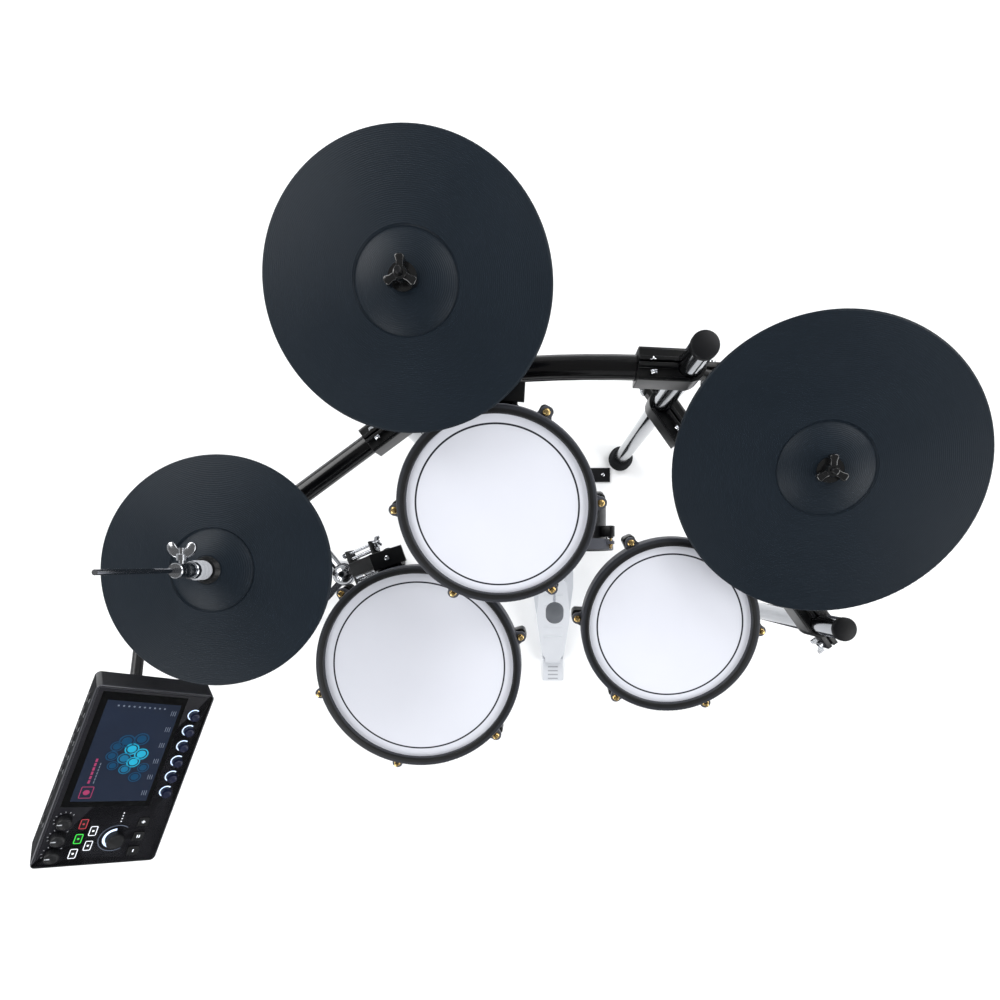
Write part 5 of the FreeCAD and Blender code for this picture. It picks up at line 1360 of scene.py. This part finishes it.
@dataclass
class SoundModule:
    """Sound module: case, face, display, knobs, keys and lit marks.

    Places on the face are counted from its left end and its upper edge, and knobs are a radius, a height
    and a number of ribs.
    """

    centre: Triple = (-607.0, -299.0, 820.0)
    heading: float = 69.5
    slope: float = 41.4
    length: float = 259.0
    width: float = 142.0
    depth: float = 52.0
    wall_margin: float = 0.6
    dial: Pair = (39.0, 83.0)
    dial_knob: KnobSize = (10.6, 11.0, 32)
    first_encoder: Pair = (109.0, 124.0)
    encoder_pitch: float = 23.6
    encoder_knob: KnobSize = (6.2, 10.0, 24)
    first_level: Pair = (21.0, 18.5)
    level_pitch: float = 24.0
    level_knob: KnobSize = (8.5, 12.0, 28)
    first_menu_key: Pair = (19.0, 110.0)
    menu_pitch: float = 22.0
    menu_key: float = 13.0
    transport_key: Pair = (15.0, 9.5)
    key_corner: float = 1.6
    key_lift: float = 1.8
    print_inset: float = 0.8
    screen: Pair = (95.0, 17.0)
    screen_size: Pair = (145.0, 86.5)
    glass_lift: float = 0.46
    field_height: float = 0.04
    jacks: tuple[float, ...] = (100, 80, 60, 40, 20, 0, -76)
    ports: tuple[float, ...] = (-26, -50)
    socket_drop: float = 2.0
    tick_rise: float = 14.0

    def place(self) -> Matrix:
        """Frame at the centre of the face, Z out of it."""
        return place_at(*self.centre) @ turn(self.heading, "Z") @ turn(self.slope, "X")

    def spot(self, left: float, top: float, lift: float = 0.0) -> Matrix:
        """Place on the face."""
        return self.place() @ place_at(left - self.length / 2, self.width / 2 - top, lift)

    def row(self, first: Pair, pitch: float, count: int) -> list[Matrix]:
        """Places in a row along the face."""
        return [self.spot(first[0] + pitch * step, first[1]) for step in range(count)]

    def encoders(self) -> list[Matrix]:
        """Places of the encoders under the display."""
        return self.row(self.first_encoder, self.encoder_pitch, 6)

    def levels(self) -> list[Matrix]:
        """Places of the level knobs."""
        return self.row(self.first_level, self.level_pitch, 3)

    def add(self, name: str, parts: Iterable[tuple[Shape, Iterable[Matrix]]], finish: Finish) -> None:
        """Add a piece that rides on the module itself."""
        assemble(name, parts, finish, Body.MODULE.value)

    def build(self) -> None:
        """Make and dress every piece of the module."""
        inverse = self.place().inverted()
        wall = (self.width / 2 - self.wall_margin) * MM
        on_wall = [(lambda p: (inverse @ p).y > wall, CASE_SIDE)]
        # The rounded edges of the case carry a painted highlight.
        soften_node("module_case", "module_case_moulding", 1.2, CASE, on_wall, CASE_EDGE_HIGHLIGHT)
        dress("module_panel", FACE)
        dress("module_screen", GLASS)
        self.make_knobs()
        self.make_keys()
        self.make_marks()
        self.make_display()
        self.make_sockets()

    def make_knobs(self) -> None:
        """Dial, encoders and level knobs, with white pointers on the level knobs."""
        self.make_knob("main_dial", self.spot(*self.dial), self.dial_knob, KNOB)
        for number, spot in enumerate(self.encoders(), start=1):
            self.make_knob(f"encoder_{number}", spot, self.encoder_knob, LIT_KNOB)
        radius, height, _ = self.level_knob
        for number, spot in enumerate(self.levels(), start=1):
            name = f"level_knob_{number}"
            self.make_knob(name, spot, self.level_knob, KNOB)
            pointer = Shape.box((-0.7, 2.2, height), (0.7, radius - 1.2, height + 0.36)).softened(0.12, 1)
            assemble(f"{name}_pointer", [(pointer, [spot])], INK, name, [name])

    def make_knob(self, name: str, spot: Matrix, size: KnobSize, finish: Finish) -> None:
        """Turned knob with a chamfered top and grip ribs.

        Args:
            name: The knob's own body and solid.
            spot: Its place.
            size: Radius, height above the face and number of ribs.
            finish: Its surface.
        """
        radius, height, ribs = size
        cap = Shape.turned([
            (0, -3), (3, -3), (3, 0.4), (radius - 0.4, 0.4), (radius - 0.3, height - 1.4),
            (radius * 0.86, height + 0.2), (radius * 0.7, height + 0.4), (radius * 0.6, height - 0.1),
            (0, height - 0.2),
        ], 48)
        rib = Shape.box((radius - 0.7, -0.45, 0.8), (radius, 0.45, height - 1.6)).ringed(ribs)
        assemble(f"{name}_cap", [(cap, [spot]), (rib, [spot])], finish, name, [name])

    def make_keys(self) -> None:
        """Silicone keys with printed frames and signs in their own colours."""
        lift = self.key_lift
        stroke = Shape.slab(rounded(4.4, 1.3, 0.4), lift, lift + 0.06)
        spots = self.row(self.first_menu_key, self.menu_pitch, 3)
        strokes = (
            [spots[0]],
            [spots[1] @ place_at(0, side, 0) for side in (-1.2, 1.2)],
            [spots[2], spots[2] @ turn(90, "Z")],
        )
        for number, (spot, places) in enumerate(zip(spots, strokes), start=1):
            name = f"menu_key_{number}"
            self.make_key(name, spot, self.menu_key, self.menu_key)
            assemble(f"{name}_sign", [(stroke, places)], WHITE, name, [name])
        length, width = self.transport_key
        inset = self.print_inset
        border = Shape.border(length - inset, width - inset, 1.0, 0.1).lifted(lift)
        sign = Shape.slab(rounded(2.6, 2.6, 1.0), lift, lift + 0.06)
        keys = (
            (20, 41, WHITE), (41.5, 41, GREEN), (63, 41, RED), (30.75, 54.5, WHITE), (52.25, 54.5, WHITE),
        )
        for number, (left, top, ink) in enumerate(keys, start=1):
            name = f"transport_key_{number}"
            spot = self.spot(left, top)
            self.make_key(name, spot, length, width)
            assemble(f"{name}_print", [(border, [spot]), (sign, [spot])], ink, name, [name])

    def make_key(self, name: str, spot: Matrix, length: float, width: float) -> None:
        """Cap of one key, set as deep into the face as it stands out of it."""
        cap = Shape.slab(rounded(length, width, self.key_corner), -self.key_lift, self.key_lift).softened(0.5)
        assemble(f"{name}_cap", [(cap, [spot])], KEY, name, [name])

    def make_marks(self) -> None:
        """Lit arcs round the encoders and the dial, level dots and scale ticks."""
        dial = self.spot(*self.dial)
        self.add("encoder_lights", [(Shape.arc(6.8, 1.5, -30, 215, 0.12), self.encoders())], ICE)
        self.add("dial_light", [(Shape.arc(11.4, 3.0, 5, 190, 0.12), [dial])], ICE)
        self.add("dial_scale", [(Shape.arc(18.6, 0.7, -35, 215, 0.1), [dial])], GREY)
        self.add("level_dots", [(Shape.disc(0.8, 0.1, 12), self.row((64, self.dial[1]), 4.2, 4))], WHITE)
        tick = Shape.box((9.8, -0.35, 0), (11.6, 0.35, 0.08))
        ticks = [spot @ turn(angle, "Z") for spot in self.levels() for angle in range(-50, 231, 28)]
        self.add("level_scales", [(tick, ticks)], INK)

    def on_screen(self, left: float, top: float) -> Matrix:
        """Place on the lit field, from the display's left end and upper edge."""
        lift = self.glass_lift + self.field_height
        return self.spot(self.screen[0] + left, self.screen[1] + top, lift)

    def make_display(self) -> None:
        """Lit display: a navy field, a loose group of discs and a few plain bars."""
        across, down = self.screen_size
        field = Shape.slab([(0, 0), (across, 0), (across, -down), (0, -down)], 0, self.field_height)
        self.add("display_field", [(field, [self.spot(*self.screen, self.glass_lift)])], NAVY)
        discs = (
            (36, 62, 7.5, TEAL_DEEP), (50, 68, 7, TEAL_DEEP), (58, 54, 8, TEAL), (70, 60, 8.5, TEAL),
            (47, 47, 7, TEAL_MID), (63, 42, 8, TEAL_MID), (77, 47, 8.5, TEAL), (88, 38, 9.5, TEAL_DEEP),
            (80, 29, 7.5, TEAL_DEEP), (92, 54, 9, TEAL_DEEP), (52, 32, 6.5, TEAL_DEEP),
            (66, 27, 7, TEAL_DEEP),
        )
        for number, (left, top, radius, finish) in enumerate(discs, start=1):
            disc = Shape.disc(radius * 0.62, 0.06, 32)
            ring = Shape.arc(radius * 0.8, radius * 0.18, 0, 360, 0.06)
            spot = self.on_screen(left, top)
            self.add(f"display_disc_{number}", [(disc, [spot]), (ring, [spot])], finish)
        bar = Shape.box((-3.5, -0.35, 0), (3.5, 0.35, 0.05))
        rows = [self.on_screen(12 + 24 * group, 78 + 2.4 * row) for group in range(6) for row in range(3)]
        self.add("display_rows", [(bar, rows)], GREY)
        mark = Shape.slab(rounded(2.2, 2.2, 0.9), 0, 0.05)
        self.add("display_marks", [(mark, [self.on_screen(138, 14 + 6 * step) for step in range(10)])], GREY)
        corner = self.on_screen(13, 14)
        dash = Shape.box((0, -1.2, 0), (4.6, 1.2, 0.05))
        dashes = [corner @ place_at(13 + 6.2 * step, 1.5, 0) for step in range(6)]
        square = [(Shape.border(17, 14, 0.9, 0.06), [corner]), (Shape.disc(3.6, 0.05, 24), [corner])]
        self.add("display_badge", [*square, (dash, dashes)], ROSE)
        note = Shape.box((0, -0.5, 0), (3.2, 0.5, 0.05))
        notes = [corner @ place_at(13 + 4.4 * step, -4, 0) for step in range(7)]
        self.add("display_notes", [(note, notes)], GREY)

    def make_sockets(self) -> None:
        """Jack sockets and two port shrouds on the side wall, each jack with a printed tick."""
        ring = Shape.turned([(3.2, -1), (6.4, -1), (6.4, 0.6), (5.8, 1.4), (3.6, 1.4), (3.2, 1)], 24)
        wall = self.place() @ place_at(0, self.width / 2, -self.depth / 2) @ turn(-90, "X")
        jacks = [wall @ place_at(x, self.socket_drop, 0) for x in self.jacks]
        self.add("jack_sockets", [(ring, jacks)], KNOB)
        self.add("jack_wells", [(Shape.disc(3.3, 0.1, 24, -1), jacks)], GLASS)
        port = Shape.slab(rounded(15, 6, 1), -1, 0.8).softened(0.4)
        ports = [wall @ place_at(x, self.socket_drop, 0) for x in self.ports]
        self.add("port_shrouds", [(port, ports)], KNOB)
        tick = Shape.box((-3, -0.6, 0), (3, 0.6, 0.08))
        self.add("socket_ticks", [(tick, [jack @ place_at(0, -self.tick_rise, 0) for jack in jacks])], INK)


@dataclass
class Studio:
    camera_height: float = 1.6
    camera_x: float = -0.028
    focal_share: float = 0.56
    shift: Pair = (-0.043, 0.063)
    room_light: float = 0.25
    room_radius: float = 6.5
    cove: float = 2.5
    cove_steps: int = 12
    ring_inner: float = 0.6
    ring_outer: float = 1.25
    ring_lift: float = 0.002
    box_size: float = 2.4
    box_power: float = 76.0
    box_target: float = 0.2

    def build(self) -> None:
        """Set the floor with its coved wall, the dark ring, the lights and the camera.

        The ring shows in reflections alone: it gives plated tubes their dark edges.
        """
        inner = self.room_radius - self.cove
        bend = [TAU / 4 * step / self.cove_steps for step in range(self.cove_steps + 1)]
        cove = [(inner + self.cove * math.sin(a), self.cove * (1 - math.cos(a))) for a in bend]
        self.lay_stage("floor", [(0, 0), *cove, (self.room_radius, self.room_radius)], FLOOR)
        line = [(self.ring_inner, self.ring_lift), (self.ring_outer, self.ring_lift)]
        ring = self.lay_stage("dark_ring", line, FLAG)
        ring.visible_camera = False
        ring.visible_diffuse = False
        ring.visible_shadow = False
        self.hang_lights()
        self.set_camera()

    def lay_stage(self, name: str, outline: Sequence[Pair], finish: Finish) -> bpy.types.Object:
        """Turn a line of radius and height into a sheet of the set.

        Args:
            name: Name of the sheet.
            outline: Its line.
            finish: Its surface.

        Returns:
            The sheet.
        """
        data = bpy.data.meshes.new(name)
        bm = bmesh.new()
        spin_line(bm, outline, 64, False)
        for face in bm.faces:
            face.smooth = True
        bm.to_mesh(data)
        bm.free()
        sheet = bpy.data.objects.new(name, data)
        data.materials.append(finish.paint())
        bpy.context.scene.collection.objects.link(sheet)
        return sheet

    def hang_lights(self) -> None:
        world = bpy.data.worlds.new("studio")
        world.use_nodes = True
        sky = world.node_tree.nodes["Background"]
        sky.inputs["Color"].default_value = linear("#ffffff")
        sky.inputs["Strength"].default_value = self.room_light
        bpy.context.scene.world = world
        boxes = (
            ("rear_left_box", (-2.4, 2.0, 2.6), 1.2), ("rear_right_box", (2.2, 2.2, 2.6), 1.0),
            ("front_right_box", (2.9, -1.2, 2.6), 1.1), ("front_left_box", (-2.4, -2.2, 2.6), 1.0),
        )
        for name, where, share in boxes:
            lamp = bpy.data.lights.new(name, "AREA")
            lamp.size = self.box_size
            lamp.energy = self.box_power * share
            light = bpy.data.objects.new(name, lamp)
            light.matrix_world = aim(Vector(where), Vector(where) - UP * self.box_target, UP)
            bpy.context.scene.collection.objects.link(light)

    def set_camera(self) -> None:
        data = bpy.data.cameras.new("camera")
        data.lens = self.focal_share * data.sensor_width
        data.shift_x, data.shift_y = self.shift
        camera = bpy.data.objects.new("camera", data)
        camera.location = (self.camera_x, 0, self.camera_height)
        bpy.context.scene.collection.objects.link(camera)
        bpy.context.scene.camera = camera
        bpy.context.scene.view_settings.view_transform = "Standard"


def main() -> None:
    logging.basicConfig(level=logging.INFO, format="%(name)s %(message)s")
    Studio().build()
    Rack().build()
    for pad in (
        MeshPad("snare", (-229, -168, 690), 6.5, 152.4, 16, Body.SNARE, 108, ring_inset=14.0),
        MeshPad("rack_tom", (-92, 78, 815), 17, 127, 2, Body.RACK_TOM, 86),
        MeshPad("floor_tom", (172, -99, 717), 10, 127, -4, Body.FLOOR_TOM, 26),
        MeshPad("kick", (0, 38, 250), 90, 127, 30, Body.RACK),
    ):
        pad.build()
    CymbalStands(
        CymbalPad("crash", (-193, 341, 915), 9, 270),
        CymbalPad("ride", (356, 129, 835), 17, 230),
    ).build()
    HiHat(CymbalPad("hihat", (-458, -9, 862), 0, 0)).build()
    SupportArms().build()
    KickStation().build()
    SoundModule().build()


if __name__ == "__main__":
    main()
